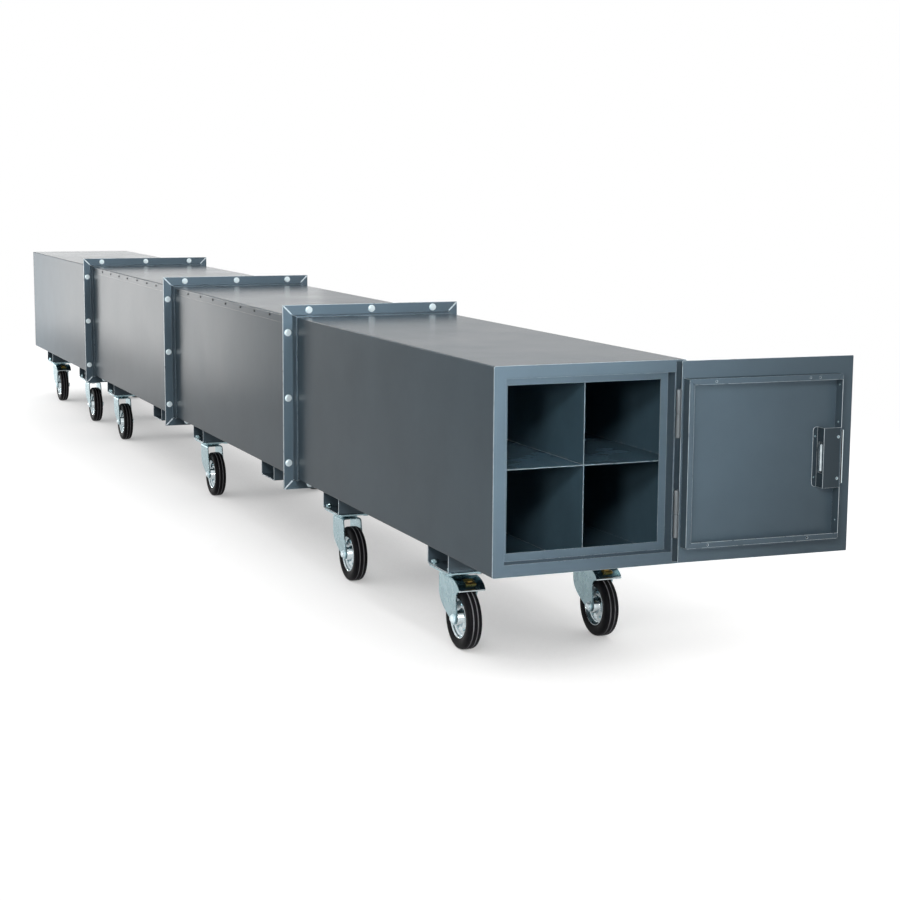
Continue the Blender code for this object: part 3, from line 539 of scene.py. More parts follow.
def make_bare_zinc(scene):
    """Pale plating of the rims and the lock's slide bar; on the hoods' rolled edges it is a painted
    highlight.
    """
    zinc = scene.pipe_box_hardware.bare_zinc
    tones = (tinted(zinc, 1.1), tinted(zinc, 0.75))
    return drifting("pale_plating", tones, (0.18, 0.05), (50.0, 900.0), metallic=1.0)


def make_galvanised(scene):
    """Matt galvanised bolts, nuts, axles and the nose of the lock bolt."""
    zinc = scene.pipe_box_hardware.bare_zinc
    tones = (tinted(zinc, 1.36), tinted(zinc, 1.24))
    return drifting("galvanised", tones, (0.42, 0.05), (70.0, 900.0), metallic=0.8)


def make_yellow_zinc(scene):
    """Yellow passivated plating, uneven as it comes from the bath."""
    hardware = scene.pipe_box_hardware
    tones = (tinted(hardware.yellow_zinc), tinted(hardware.yellow_shade))
    return drifting("yellow_plating", tones, (0.30, 0.08), (90.0, 900.0), PLATING_GRAIN, metallic=1.0)


def make_rubber(scene):
    """Tyre rubber with pale grey held in its grooves, partly floor dust and partly a painted highlight."""
    rubber = scene.pipe_box_hardware.rubber

    def dusted_and_highlit(tree, colour):
        """The rubber's colour under the grooves' pale grey, dust and painted highlight, that the tyre's mesh
        carries.
        """
        dust = add_node(tree, "ShaderNodeAttribute", attribute_name="dust")
        return blend(tree, dust.outputs["Fac"], colour, tinted(GROOVE_DUST_AND_HIGHLIGHT))

    tones = (tinted(rubber, 1.5), tinted(rubber, 0.8))
    return drifting(
        "tyre_rubber", tones, (0.50, 0.09), (45.0, 700.0), (0.2, 0.0004), specular=0.06, overlay=dusted_and_highlit)


def make_dark_steel(scene):
    """Dark steel of the lip rivets and the lock bolt."""
    tones = (tinted(DARK_STEEL_LIGHT), tinted(DARK_STEEL_DARK))
    return drifting("dark_steel", tones, (0.5, 0.08), (60.0, 900.0), metallic=0.5)


# Each slate coat's specular level and its share of the coat's brightness.
COATS = {
    "slate_coat_panels": (0.045, 1.0),
    "slate_coat_fittings": (0.18, 1.0),
    "slate_coat_lock": (0.18, 0.5),
    # The strip's dark share is a painted shadow in the gap beside the hinges.
    "slate_coat_strip": (0.08, 0.32),
}
FINISHES = {
    "slate_coat_inside": make_inside_paint,
    "slate_coat_gloss": make_gloss_paint,
    "slate_coat_edges": make_edge_highlight_paint,
    "bright_plating": make_zinc,
    "blue_plating": make_blue_zinc,
    "pale_plating": make_bare_zinc,
    "galvanised": make_galvanised,
    "yellow_plating": make_yellow_zinc,
    "tyre_rubber": make_rubber,
    "dark_steel": make_dark_steel,
}
# Coats whose bevel faces take the pale edge coat, a painted highlight.
HIGHLIGHT_EDGED_COATS = ("slate_coat_panels", "slate_coat_fittings", "slate_coat_lock", "slate_coat_inside")


def finish_of(scene, name):
    """A finish by name, made when it is first asked for."""
    if name in bpy.data.materials:
        return bpy.data.materials[name]
    if name in COATS:
        return make_slate_coat(scene, name, *COATS[name])
    return FINISHES[name](scene)


def link(name, mesh):
    """A new object in the scene."""
    item = bpy.data.objects.new(name, mesh)
    bpy.context.scene.collection.objects.link(item)
    return item


def finish_mesh(name, shape, angle=38.0):
    """Turn a bmesh into a mesh with faces out, smooth on its round stretches."""
    bmesh.ops.recalc_face_normals(shape, faces=shape.faces)
    mesh = bpy.data.meshes.new(name)
    shape.to_mesh(mesh)
    shape.free()
    mesh.shade_smooth()
    mesh.set_sharp_from_angle(angle=math.radians(angle))
    return mesh


def joined(shapes):
    """Gather several closed shapes into one."""
    whole = bmesh.new()
    for shape in shapes:
        bmesh.ops.recalc_face_normals(shape, faces=shape.faces)
        scratch = bpy.data.meshes.new("scratch")
        shape.to_mesh(scratch)
        shape.free()
        whole.from_mesh(scratch)
        bpy.data.meshes.remove(scratch)
    return whole


def moved(shape, matrix):
    """Place a shape; a plain offset will do as well as a matrix."""
    if not isinstance(matrix, Matrix):
        matrix = Matrix.Translation(Vector(matrix))
    bmesh.ops.transform(shape, matrix=matrix, verts=shape.verts)
    return shape


def merge(shape):
    """Join a shape's loose triangles into whole faces."""
    bmesh.ops.remove_doubles(shape, verts=shape.verts, dist=MERGE_DISTANCE)
    bmesh.ops.dissolve_limit(shape, angle_limit=FLAT_ANGLE, verts=shape.verts, edges=shape.edges)
    return shape


def merged_copy(node):
    """A solid's shape in whole faces, all in the first finish."""
    shape = bmesh.new()
    shape.from_mesh(NODES[node].data)
    merge(shape)
    for face in shape.faces:
        face.material_index = 0
    return shape


def carve(shape, tool, operation):
    """Cut or trim one closed shape with another."""
    body = link("carve_body", finish_mesh("carve_body", shape))
    cutter = link("carve_tool", finish_mesh("carve_tool", tool))
    modifier = body.modifiers.new("carve", "BOOLEAN")
    modifier.operation = operation
    modifier.solver = "EXACT"
    modifier.object = cutter
    graph = bpy.context.evaluated_depsgraph_get()
    mesh = bpy.data.meshes.new_from_object(body.evaluated_get(graph))
    result = bmesh.new()
    result.from_mesh(mesh)
    for item in (body, cutter):
        bpy.data.objects.remove(item, do_unlink=True)
    return merge(result)


def weigh_edges(shape, is_broad, fine_share):
    """Mark a shape's sharp edges for the bevel, in full where is_broad says so and by a share elsewhere."""
    layer = shape.edges.layers.float.new("bevel_weight_edge")
    for edge in shape.edges:
        if len(edge.link_faces) == 2 and edge.calc_face_angle() > math.radians(SHARP_DEG):
            edge[layer] = 1.0 if is_broad(*(corner.co for corner in edge.verts)) else fine_share


def add_piece(name, shape, finishes, body, replaces=(), edge=0.0):
    """A finished piece on its body from a shape or a mesh, with small rounded edges where edge is given."""
    scene = bpy.context.scene
    mesh = shape if isinstance(shape, bpy.types.Mesh) else finish_mesh(name, shape)
    for finish in finishes:
        mesh.materials.append(finish_of(scene, finish))
    piece = link(name, mesh)
    if edge:
        bevel = piece.modifiers.new("edges", "BEVEL")
        bevel.width = edge
        bevel.segments = 3
        bevel.limit_method = "WEIGHT" if "bevel_weight_edge" in mesh.attributes else "ANGLE"
        bevel.angle_limit = math.radians(SHARP_DEG)
        bevel.use_clamp_overlap = True
        # The bevel faces of these coats take the pale edge coat: a painted highlight along the edges.
        if finishes[0] in HIGHLIGHT_EDGED_COATS:
            mesh.materials.append(finish_of(scene, "slate_coat_edges"))
            bevel.material = len(finishes)
        weights = piece.modifiers.new("flats", "WEIGHTED_NORMAL")
        weights.keep_sharp = True
    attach(piece, body)
    if replaces:
        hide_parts(*replaces)


def arc_points(centre, radius, start_deg, end_deg, steps):
    """Points along an arc, both ends included."""
    points = []
    for k in range(steps + 1):
        angle = math.radians(start_deg + (end_deg - start_deg) * k / steps)
        points.append((centre[0] + radius * math.cos(angle), centre[1] + radius * math.sin(angle)))
    return points


def curve_points(start, start_pull, end_pull, end, steps):
    """Points along a cubic curve, leaving out its first point."""
    points = []
    for k in range(1, steps + 1):
        t = k / steps
        weights = ((1 - t) ** 3, 3 * t * (1 - t) ** 2, 3 * t * t * (1 - t), t ** 3)
        corners = (start, start_pull, end_pull, end)
        points.append(tuple(sum(w * c[i] for w, c in zip(weights, corners)) for i in (0, 1)))
    return points


def bridge(shape, first, second):
    """Quads between two closed rings of vertices."""
    count = len(first)
    for k in range(count):
        after = (k + 1) % count
        shape.faces.new((first[k], first[after], second[after], second[k]))


def on_axis(axis, distance, a, b):
    """A point at a distance along an axis, with its two other coordinates in order."""
    return {"x": (distance, a, b), "y": (a, distance, b), "z": (a, b, distance)}[axis]


def extrusion(outline, axis, low, high):
    """Extrude a flat outline along x, y or z between two distances."""
    shape = bmesh.new()
    rings = [[shape.verts.new(on_axis(axis, d, a, b)) for a, b in outline] for d in (low, high)]
    bridge(shape, *rings)
    shape.faces.new(rings[0])
    shape.faces.new(rings[1])
    return shape


def block(low, high):
    """A plain block between two corners, used as a cutter or a blank."""
    outline = ((low[0], low[1]), (high[0], low[1]), (high[0], high[1]), (low[0], high[1]))
    return extrusion(outline, "z", low[2], high[2])


def lathe(profile, segments, axis):
    """Turn (radius, distance) points about an axis; the profile is closed on itself or at the axis."""
    shape = bmesh.new()
    rings = []
    for radius, distance in profile:
        ring = []
        for k in range(segments if radius > 0 else 1):
            angle = 2 * math.pi * k / segments
            point = on_axis(axis, distance, radius * math.sin(angle), -radius * math.cos(angle))
            ring.append(shape.verts.new(point))
        rings.append(ring)
    pairs = list(zip(rings, rings[1:]))
    if profile[0][0] > 0:
        pairs.append((rings[-1], rings[0]))
    for first, second in pairs:
        if len(first) == len(second):
            bridge(shape, first, second)
            continue
        pole, ring = (first[0], second) if len(first) == 1 else (second[0], first)
        for k in range(segments):
            shape.faces.new((pole, ring[k], ring[(k + 1) % segments]))
    return shape


def swept_frame(width, height, profile):
    """Carry a closed (inset, y) profile round a rectangle that stands on z = 0, mitred at its corners."""
    shape = bmesh.new()
    rings = []
    for inset, y in profile:
        right = width / 2 - inset
        corners = ((right, height - inset), (-right, height - inset), (-right, inset), (right, inset))
        rings.append([shape.verts.new((x, y, z)) for x, z in corners])
    for k, ring in enumerate(rings):
        bridge(shape, ring, rings[(k + 1) % len(rings)])
    return shape


def hexagon(flats, low, high, dome=0.0, washer=0.0, washer_height=0.0):
    """A hexagon head or nut along z with its chamfered crown, an optional dome and a washer under it."""
    half = flats / 2
    base = low + washer_height
    slope = math.tan(math.radians(30)) * 1.6
    steps = 12
    angles = [2 * math.pi * k / steps for k in range(steps)]
    reach = [half / math.cos((angle % (math.pi / 3)) - math.pi / 6) for angle in angles]
    levels = []
    if washer:
        levels += [[(washer, low)] * steps, [(washer, base)] * steps]
    levels.append([(radius, base) for radius in reach])
    levels.append([(radius, high - (radius - half) * slope) for radius in reach])
    levels.append([(half * 0.95, high)] * steps)
    if dome:
        levels.append([(half * 0.90, high + dome * 0.45)] * steps)
        levels.append([(half * 0.55, high + dome * 0.88)] * steps)
    shape = bmesh.new()
    rings = []
    for level in levels:
        ring = []
        for angle, (radius, z) in zip(angles, level):
            ring.append(shape.verts.new((radius * math.cos(angle), radius * math.sin(angle), z)))
        rings.append(ring)
    shape.faces.new(rings[0])
    for first, second in zip(rings, rings[1:]):
        bridge(shape, first, second)
    top = shape.verts.new((0.0, 0.0, high + dome))
    for k in range(steps):
        shape.faces.new((top, rings[-1][k], rings[-1][(k + 1) % steps]))
    return shape


def screw_head(radius, height):
    """A low round head with a drive recess, along z."""
    profile = (
        (0, 0), (radius, 0), (radius, height * 0.35), (radius * 0.82, height * 0.8), (radius * 0.5, height),
        (radius * 0.32, height), (radius * 0.26, height * 0.55), (0, height * 0.55),
    )
    return lathe(profile, 12, "z")


def new_tree(name, sockets):
    """An empty Geometry Nodes tree with named inputs; its ends come with it."""
    inputs = (("Geometry", "Geometry", None), *sockets, ("Seed", "Int", 0), ("Finish", "Material", None))
    return new_group(name, "GeometryNodeTree", inputs, (("Geometry", "Geometry"),))


def close_tree(tree, instances, given, result):
    """Make the instances real and give them their finish."""
    real = add_node(tree, "GeometryNodeRealizeInstances", {"Geometry": instances})
    finish = add_node(tree, "GeometryNodeSetMaterial", {
        "Geometry": real.outputs[0], "Material": given["Finish"]})
    feed(tree, result, {"Geometry": finish.outputs[0]})
    return tree


def even_steps(tree, given):
    """Points along each edge, a pitch apart."""
    path = add_node(tree, "GeometryNodeMeshToCurve", {"Mesh": given["Geometry"]})
    steps = add_node(tree, "GeometryNodeResampleCurve", {
        "Curve": path.outputs[0], "Length": given["Pitch"]}, mode="LENGTH")
    return steps.outputs[0]


def fastener_tree():
    """Tree: one fastener on each point, along the point's facing, turned by chance about its own axis."""
    if "fasteners" in bpy.data.node_groups:
        return bpy.data.node_groups["fasteners"]
    tree, given, result = new_tree("fasteners", (("Fastener", "Object", None), ("Turn", "Float", 1.0)))
    facing = add_node(tree, "GeometryNodeInputNamedAttribute", {"Name": "facing"}, data_type="FLOAT_VECTOR")
    aim = add_node(tree, "FunctionNodeAlignRotationToVector", {
        "Vector": facing.outputs["Attribute"]}, axis="Z")
    chance = add_node(tree, "FunctionNodeRandomValue", {"Seed": given["Seed"]}, data_type="FLOAT")
    spin = add_node(tree, "FunctionNodeAxisAngleToRotation", {
        "Axis": (0.0, 0.0, 1.0), "Angle": maths(tree, "MULTIPLY", chance.outputs[1], given["Turn"])})
    turned = add_node(tree, "FunctionNodeRotateRotation", {
        "Rotation": aim.outputs[0], "Rotate By": spin.outputs[0]}, rotation_space="LOCAL")
    source = add_node(tree, "GeometryNodeObjectInfo", {"Object": given["Fastener"]})
    spread = add_node(tree, "GeometryNodeInstanceOnPoints", {
        "Points": given["Geometry"], "Instance": source.outputs["Geometry"], "Rotation": turned.outputs[0]})
    return close_tree(tree, spread.outputs[0], given, result)


def bead_tree():
    """Tree: a rippled weld bead along each edge."""
    if "weld_beads" in bpy.data.node_groups:
        return bpy.data.node_groups["weld_beads"]
    tree, given, result = new_tree("weld_beads", (
        ("Width", "Float", 0.005), ("Height", "Float", 0.001), ("Pitch", "Float", 0.002),
        ("Facing", "Vector", (0.0, 0.0, 1.0))))
    steps = even_steps(tree, given)
    tangent = add_node(tree, "GeometryNodeInputTangent")
    along = add_node(tree, "FunctionNodeAlignRotationToVector", {"Vector": tangent.outputs[0]}, axis="X")
    aim = add_node(tree, "FunctionNodeAlignRotationToVector", {
        "Rotation": along.outputs[0], "Vector": given["Facing"]}, axis="Z", pivot_axis="X")
    chance = add_node(tree, "FunctionNodeRandomValue", {
        "Min": (0.85, 0.8, 0.8), "Max": (1.15, 1.15, 1.15), "Seed": given["Seed"]}, data_type="FLOAT_VECTOR")
    size = add_node(tree, "ShaderNodeCombineXYZ", {
        "X": maths(tree, "MULTIPLY", given["Pitch"], 1.3), "Y": maths(tree, "MULTIPLY", given["Width"], 0.5),
        "Z": given["Height"]})
    varied = add_node(tree, "ShaderNodeVectorMath", {
        0: size.outputs[0], 1: chance.outputs[0]}, operation="MULTIPLY")
    ripple = add_node(tree, "GeometryNodeMeshIcoSphere", {"Radius": 1.0, "Subdivisions": 2})
    smooth = add_node(tree, "GeometryNodeSetShadeSmooth", {"Geometry": ripple.outputs[0]})
    spread = add_node(tree, "GeometryNodeInstanceOnPoints", {
        "Points": steps, "Instance": smooth.outputs[0],
        "Rotation": aim.outputs[0], "Scale": varied.outputs[0]})
    return close_tree(tree, spread.outputs[0], given, result)


def row_tree():
    """Tree: a row of rivets along each edge, a little out of step."""
    if "rivet_rows" in bpy.data.node_groups:
        return bpy.data.node_groups["rivet_rows"]
    tree, given, result = new_tree("rivet_rows", (
        ("Rivet", "Object", None), ("Pitch", "Float", 0.15), ("Stray", "Vector", (0.0, 0.01, 0.002)),
        ("Facing", "Vector", (1.0, 0.0, 0.0))))
    back = add_node(tree, "ShaderNodeVectorMath", {0: given["Stray"], "Scale": -1.0}, operation="SCALE")
    chance = add_node(tree, "FunctionNodeRandomValue", {
        "Min": back.outputs[0], "Max": given["Stray"], "Seed": given["Seed"]}, data_type="FLOAT_VECTOR")
    strayed = add_node(tree, "GeometryNodeSetPosition", {
        "Geometry": even_steps(tree, given), "Offset": chance.outputs[0]})
    aim = add_node(tree, "FunctionNodeAlignRotationToVector", {"Vector": given["Facing"]}, axis="Z")
    source = add_node(tree, "GeometryNodeObjectInfo", {"Object": given["Rivet"]})
    spread = add_node(tree, "GeometryNodeInstanceOnPoints", {
        "Points": strayed.outputs[0], "Instance": source.outputs["Geometry"], "Rotation": aim.outputs[0]})
    return close_tree(tree, spread.outputs[0], given, result)


def grow(name, mesh, tree, values, body):
    """Run a tree over a mesh of points or edges and keep the result as a plain piece."""
    piece = link(name, mesh)
    modifier = piece.modifiers.new(tree.name, "NODES")
    modifier.node_group = tree
    for item in tree.interface.items_tree:
        if item.in_out == "INPUT" and item.name in values:
            modifier[item.identifier] = values[item.name]
    graph = bpy.context.evaluated_depsgraph_get()
    result = bpy.data.meshes.new_from_object(piece.evaluated_get(graph))
    piece.modifiers.clear()
    piece.data = result
    for index in reversed(range(len(result.materials))):
        if result.materials[index] is None:
            result.materials.pop(index=index)
    if not result.polygons:
        raise RuntimeError(f"{name} came out empty")
    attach(piece, body)


def spread_fasteners(name, spots, shape, finish, body):
    """Put one fastener shape on each (place, facing) of a body."""
    scene = bpy.context.scene
    mesh = bpy.data.meshes.new(name + "_spots")
    mesh.from_pydata([tuple(place) for place, _ in spots], [], [])
    facing = mesh.attributes.new("facing", "FLOAT_VECTOR", "POINT")
    facing.data.foreach_set("vector", [value for _, aim in spots for value in aim])
    source = link(name + "_source", finish_mesh(name + "_source", shape, FASTENER_SMOOTH_DEG))
    values = {
        "Fastener": source, "Turn": math.tau, "Seed": scene.pipe_box_hardware.seed,
        "Finish": finish_of(scene, finish),
    }
    grow(name, mesh, fastener_tree(), values, body)
    bpy.data.objects.remove(source, do_unlink=True)


def edge_mesh(name, runs):
    """A mesh of loose edges, one chain for each run of points."""
    points = []
    edges = []
    for run in runs:
        edges += [(len(points) + k, len(points) + k + 1) for k in range(len(run) - 1)]
        points += [tuple(point) for point in run]
    mesh = bpy.data.meshes.new(name)
    mesh.from_pydata(points, edges, [])
    return mesh


def lay_welds(name, runs, body, facing, width_share=1.0, finish="slate_coat_edges"):
    """Coated weld beads along runs of points on one body, flat on a surface that faces a direction; by
    default they take the pale edge coat, partly bare weld and partly a painted highlight.
    """
    scene = bpy.context.scene
    hardware = scene.pipe_box_hardware
    width = hardware.bead_width * width_share
    values = {
        "Width": width, "Height": width * BEAD_RISE, "Pitch": hardware.bead_pitch, "Seed": hardware.seed,
        "Facing": tuple(facing), "Finish": finish_of(scene, finish),
    }
    grow(name, edge_mesh(name, runs), bead_tree(), values, body)


def seam_y(seam):
    """Where two sections meet."""
    return (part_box(f"section_{seam}_shell")[1].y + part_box(f"section_{seam + 1}_shell")[0].y) / 2


def on_fold(start, end):
    """True for an edge along one of the box's four long folds."""
    near_x = min(abs(start.x - SHELL_LOW.x), abs(start.x - SHELL_HIGH.x)) < FOLD_TOLERANCE
    near_z = min(abs(start.z - UNDERSIDE), abs(start.z - ROOF)) < FOLD_TOLERANCE
    along = abs(start.x - end.x) + abs(start.z - end.z) < FOLD_TOLERANCE
    return near_x and near_z and along


def on_front_fold(start, end):
    """True for the long folds and for the front's outer edges, apart from the hinge side."""
    at_front = max(start.y, end.y) < FRONT + FOLD_TOLERANCE
    on_left = max(start.x, end.x) < SHELL_LOW.x + FOLD_TOLERANCE
    on_roof = min(start.z, end.z) > ROOF - FOLD_TOLERANCE
    on_base = max(start.z, end.z) < UNDERSIDE + FOLD_TOLERANCE
    return on_fold(start, end) or (at_front and (on_left or on_roof or on_base))


def dress_sheetwork():
    """Shells and dividers in their coats, then the door frame."""
    middle = (UNDERSIDE + ROOF) / 2
    coats = ("slate_coat_panels", "slate_coat_inside")
    for section in SECTIONS:
        node = f"section_{section}_shell"
        shape = merged_copy(node)
        bmesh.ops.recalc_face_normals(shape, faces=shape.faces)
        for face in shape.faces:
            centre = face.calc_center_median()
            if abs(face.normal.y) > 0.5:
                inside = face.normal.y < 0 and section == SECTIONS[-1]
            else:
                inside = face.normal.dot(Vector((BOX_X - centre.x, 0.0, middle - centre.z))) > 0
            face.material_index = int(inside)
        weigh_edges(shape, on_fold, fine_share=0.15)
        mesh = finish_mesh(f"shell_{section}", shape, SHARP_DEG)
        add_piece(f"shell_{section}", mesh, coats, "box", (node,), edge=FOLD_RADIUS)
        node = f"section_{section}_divider"
        shape = merged_copy(node)
        add_piece(f"divider_{section}", shape, coats[1:], "box", (node,), edge=0.0004)
    dress_door_frame()


def dress_door_frame():
    """The door frame with a shallow strip sunk beside its hinges, in a dark coat that is a painted shadow of
    the gap there.
    """
    strip = DOOR_AXIS.x - HINGE_RADIUS
    floor = FRONT + STRIP_DEPTH
    low = (strip, FRONT - CUT_MARGIN, UNDERSIDE + STRIP_END)
    high = (SHELL_HIGH.x + CUT_MARGIN, floor, ROOF - STRIP_END)
    shape = carve(merged_copy("front_frame"), block(low, high), "DIFFERENCE")
    # Faces on the strip's floor take the dark coat, a painted shadow.
    for face in shape.faces:
        centre = face.calc_center_median()
        face.material_index = int(centre.x > strip and abs(centre.y - floor) < STRIP_DEPTH / 4)
    weigh_edges(shape, on_front_fold, fine_share=0.35)
    coats = ("slate_coat_fittings", "slate_coat_strip")
    add_piece("door_frame", shape, coats, "box", ("front_frame",), edge=FOLD_RADIUS)


def add_lid_lips():
    """Turned-down lid lips with their rivets on the two middle sections."""
    scene = bpy.context.scene
    hardware = scene.pipe_box_hardware
    rivet = link("lip_rivet", finish_mesh("lip_rivet", screw_head(radius=0.0036, height=0.0030)))
    low = ROOF - LIP_DEPTH
    top = ROOF - LIP_TOP
    row_height = ROOF - LIP_DEPTH * 0.45
    for section in SECTIONS[1:-1]:
        start = seam_y(section - 1) + FLANGE_SIDE_LEG + FLANGE_THICKNESS
        end = seam_y(section) - FLANGE_SIDE_LEG - FLANGE_THICKNESS
        for side, x, out in (("left", SHELL_LOW.x, -1), ("right", SHELL_HIGH.x, 1)):
            outer = x + out * LIP_SHEET
            inner = x - out * GAP
            outline = ((inner, low), (outer, low), (outer, top), (inner, top))
            shape = extrusion(outline, "y", start, end)
            name = f"lid_lip_{section}_{side}"
            add_piece(name, shape, ("slate_coat_panels",), "box", edge=0.0003)
            ends = (start + LIP_RIVET_INSET, end - LIP_RIVET_INSET)
            run = [(outer - out * GAP, y, row_height) for y in ends]
            values = {
                "Rivet": rivet, "Pitch": hardware.dot_pitch, "Stray": LIP_RIVET_STRAY,
                "Facing": (out, 0.0, 0.0), "Seed": hardware.seed + section,
                "Finish": finish_of(scene, "dark_steel"),
            }
            row = edge_mesh(name + "_row", [run])
            grow(name + "_rivets", row, row_tree(), values, "box")
    bpy.data.objects.remove(rivet, do_unlink=True)


def flange_profile(seam, toward):
    """Closed (inset, y) outline of an angle bar with its rolled root, standing off the shell."""
    face = seam + toward * GAP / 2
    back = face + toward * FLANGE_THICKNESS
    heel = -GAP - FLANGE_THICKNESS
    root = arc_points((heel - FLANGE_ROOT, FLANGE_ROOT), FLANGE_ROOT, -90, 0, 6)
    toe = arc_points((heel + FLANGE_THICKNESS / 2, FLANGE_SIDE_LEG - FLANGE_THICKNESS / 2 - FLANGE_THICKNESS),
                     FLANGE_THICKNESS / 2, 180, 90, 3)
    profile = [(-GAP, face), (-FLANGE_LEG, face), (-FLANGE_LEG, back)]
    profile += [(inset, back + toward * depth) for inset, depth in root + toe]
    profile.append((-GAP, face + toward * FLANGE_SIDE_LEG))
    return profile


def flange_bolts():
    """Bolt centres round a flange as (x, z)."""
    offset = (FLANGE_LEG + FLANGE_THICKNESS) / 2
    places = []
    for step in (-1, 0, 1):
        across = BOX_X + step * (BOX_WIDTH / 2 - FLANGE_BOLT_INSET)
        up = UNDERSIDE + BOX_HEIGHT / 2 + step * (BOX_HEIGHT / 2 - FLANGE_BOLT_INSET)
        places += [(across, ROOF + offset), (across, UNDERSIDE - offset)]
        places += [(SHELL_LOW.x - offset, up), (SHELL_HIGH.x + offset, up)]
    return places


def build_flanges():
    """Mitred angle frames at the joints, their corner welds, bolts and nuts."""
    hardware = bpy.context.scene.pipe_box_hardware
    reach = (FLANGE_THICKNESS + FLANGE_ROOT, FLANGE_LEG - FLANGE_WELD_STOP)
    coat = ("slate_coat_fittings",)
    heads = []
    nuts = []
    welds = []
    for seam in SEAMS:
        plane = seam_y(seam)
        for label, toward, spots in (("front", -1, heads), ("rear", 1, nuts)):
            shape = swept_frame(BOX_WIDTH, BOX_HEIGHT, flange_profile(plane, toward))
            moved(shape, (BOX_X, 0.0, UNDERSIDE))
            node = f"flange_{seam}_{label}"
            add_piece(f"angle_frame_{seam}_{label}", shape, coat, "box", (node,), edge=0.0007)
            back = plane + toward * (GAP / 2 + FLANGE_THICKNESS)
            spots += [((x, back, z), (0.0, toward, 0.0)) for x, z in flange_bolts()]
            for x, out_x in ((SHELL_LOW.x, -1), (SHELL_HIGH.x, 1)):
                for z, out_z in ((UNDERSIDE, -1), (ROOF, 1)):
                    welds.append([(x + out_x * far, back, z + out_z * far) for far in reach])
    for name, spots, height in (
        ("flange_bolt_heads", heads, hardware.bolt_height), ("flange_nuts", nuts, FLANGE_NUT_HEIGHT),
    ):
        head = hexagon(
            hardware.bolt_flats, 0.0, height, washer=hardware.washer / 2, washer_height=FLANGE_WASHER_HEIGHT)
        spread_fasteners(name, spots, head, "galvanised", "box")
    # The corner welds take the pale edge coat: partly bare weld, partly a painted highlight.
    lay_welds("flange_corner_welds", welds, "box", (0.0, 1.0, 0.0))


def rounded_rectangle(width, height, radius, steps):
    """Corner points of a rectangle about the origin with rounded corners."""
    points = []
    for sx, sy, start in ((1, 1, 0), (-1, 1, 90), (-1, -1, 180), (1, -1, 270)):
        centre = (sx * (width / 2 - radius), sy * (height / 2 - radius))
        points += arc_points(centre, radius, start, start + 90, steps)
    return points


def channel_outline(low, high):
    """Section of a cross channel as (y, z): a folded U, open towards the box."""
    inner = CHANNEL_BEND - CHANNEL_SHEET
    turn_z = low.z + CHANNEL_BEND
    points = [(low.y, high.z)]
    points += arc_points((low.y + CHANNEL_BEND, turn_z), CHANNEL_BEND, 180, 270, 4)
    points += arc_points((high.y - CHANNEL_BEND, turn_z), CHANNEL_BEND, 270, 360, 4)
    points += [(high.y, high.z), (high.y - CHANNEL_SHEET, high.z)]
    points += arc_points((high.y - CHANNEL_BEND, turn_z), inner, 360, 270, 3)
    points += arc_points((low.y + CHANNEL_BEND, turn_z), inner, 270, 180, 3)
    points.append((low.y + CHANNEL_SHEET, high.z))
    return points


def build_channels():
    """Cross channels with their stitch welds, castor plates and plate bolts."""
    coat = ("slate_coat_fittings",)
    fitted = {round(JOINTS[f"swivel_{n}_left"]["pos_m"][1], 2): n for n in STATIONS}
    plate_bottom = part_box("channel_1_front")[0].z
    channel_low = plate_bottom + PLATE_THICKNESS
    bolts = []
    nuts = []
    welds = []
    for section in SECTIONS:
        for label in ("front", "rear"):
            node = f"channel_{section}_{label}"
            low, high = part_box(node)
            low.z = channel_low
            shape = extrusion(channel_outline(low, high), "x", low.x, high.x)
            add_piece("cross_" + node, shape, coat, "box", (node,), edge=0.0006)
            for y in (low.y, high.y):
                for share in STITCH_SHARES:
                    centre = low.x + (high.x - low.x) * share
                    ends = (centre - STITCH_HALF, centre + STITCH_HALF)
                    welds.append([(x, y, high.z - STITCH_DROP) for x in ends])
            station = fitted.get(round((low.y + high.y) / 2, 2))
            if station is None:
                continue
            plates = []
            for side in SIDES:
                x, y, _ = JOINTS[f"swivel_{station}_{side}"]["pos_m"]
                outline = rounded_rectangle(PLATE_WIDTH, PLATE_LENGTH, PLATE_CORNER, 5)
                plate = extrusion(outline, "z", plate_bottom, channel_low + GAP / 3)
                plates.append(moved(plate, (x, y, 0.0)))
                for across in (-PLATE_BOLT_ACROSS, PLATE_BOLT_ACROSS):
                    for along in (-PLATE_BOLT_ALONG, PLATE_BOLT_ALONG):
                        place = (x + across, y + along)
                        bolts.append(((*place, plate_bottom), (0.0, 0.0, -1.0)))
                        nuts.append(((*place, channel_low + CHANNEL_SHEET), (0.0, 0.0, 1.0)))
            shape = joined(plates)
            name = f"castor_plates_{station}"
            add_piece(name, shape, ("bright_plating",), "box", edge=0.0008)
    bolt = hexagon(PLATE_BOLT_FLATS, 0.0, 0.0034, washer=0.0095, washer_height=0.0010)
    spread_fasteners("castor_plate_bolts", bolts, bolt, "bright_plating", "box")
    nut = hexagon(PLATE_BOLT_FLATS, 0.0, 0.0084, dome=0.0025, washer=0.0105, washer_height=0.0016)
    spread_fasteners("castor_plate_nuts", nuts, nut, "bright_plating", "box")
    # The stitch welds take the pale edge coat: partly bare weld, partly a painted highlight.
    lay_welds("channel_stitch_welds", welds, "box", (0.0, 0.0, 1.0), width_share=1.1)


def hood_points(lift, start_deg=0.0, end_deg=HOOD_END_DEG, steps=16):
    """Points of the brake hood's elliptic back as (y, z), raised by lift along its normal."""
    points = []
    for k in range(steps + 1):
        angle = math.radians(start_deg + (end_deg - start_deg) * k / steps)
        normal = Vector((-CHEEK_DROP * math.sin(angle), CHEEK_REACH * math.cos(angle))).normalized()
        y = -FORK_FRONT - CHEEK_REACH * math.sin(angle) + lift * normal.x
        z = CROWN_TOP - CHEEK_DROP * (1 - math.cos(angle)) + lift * normal.y
        points.append((y, z))
    return points


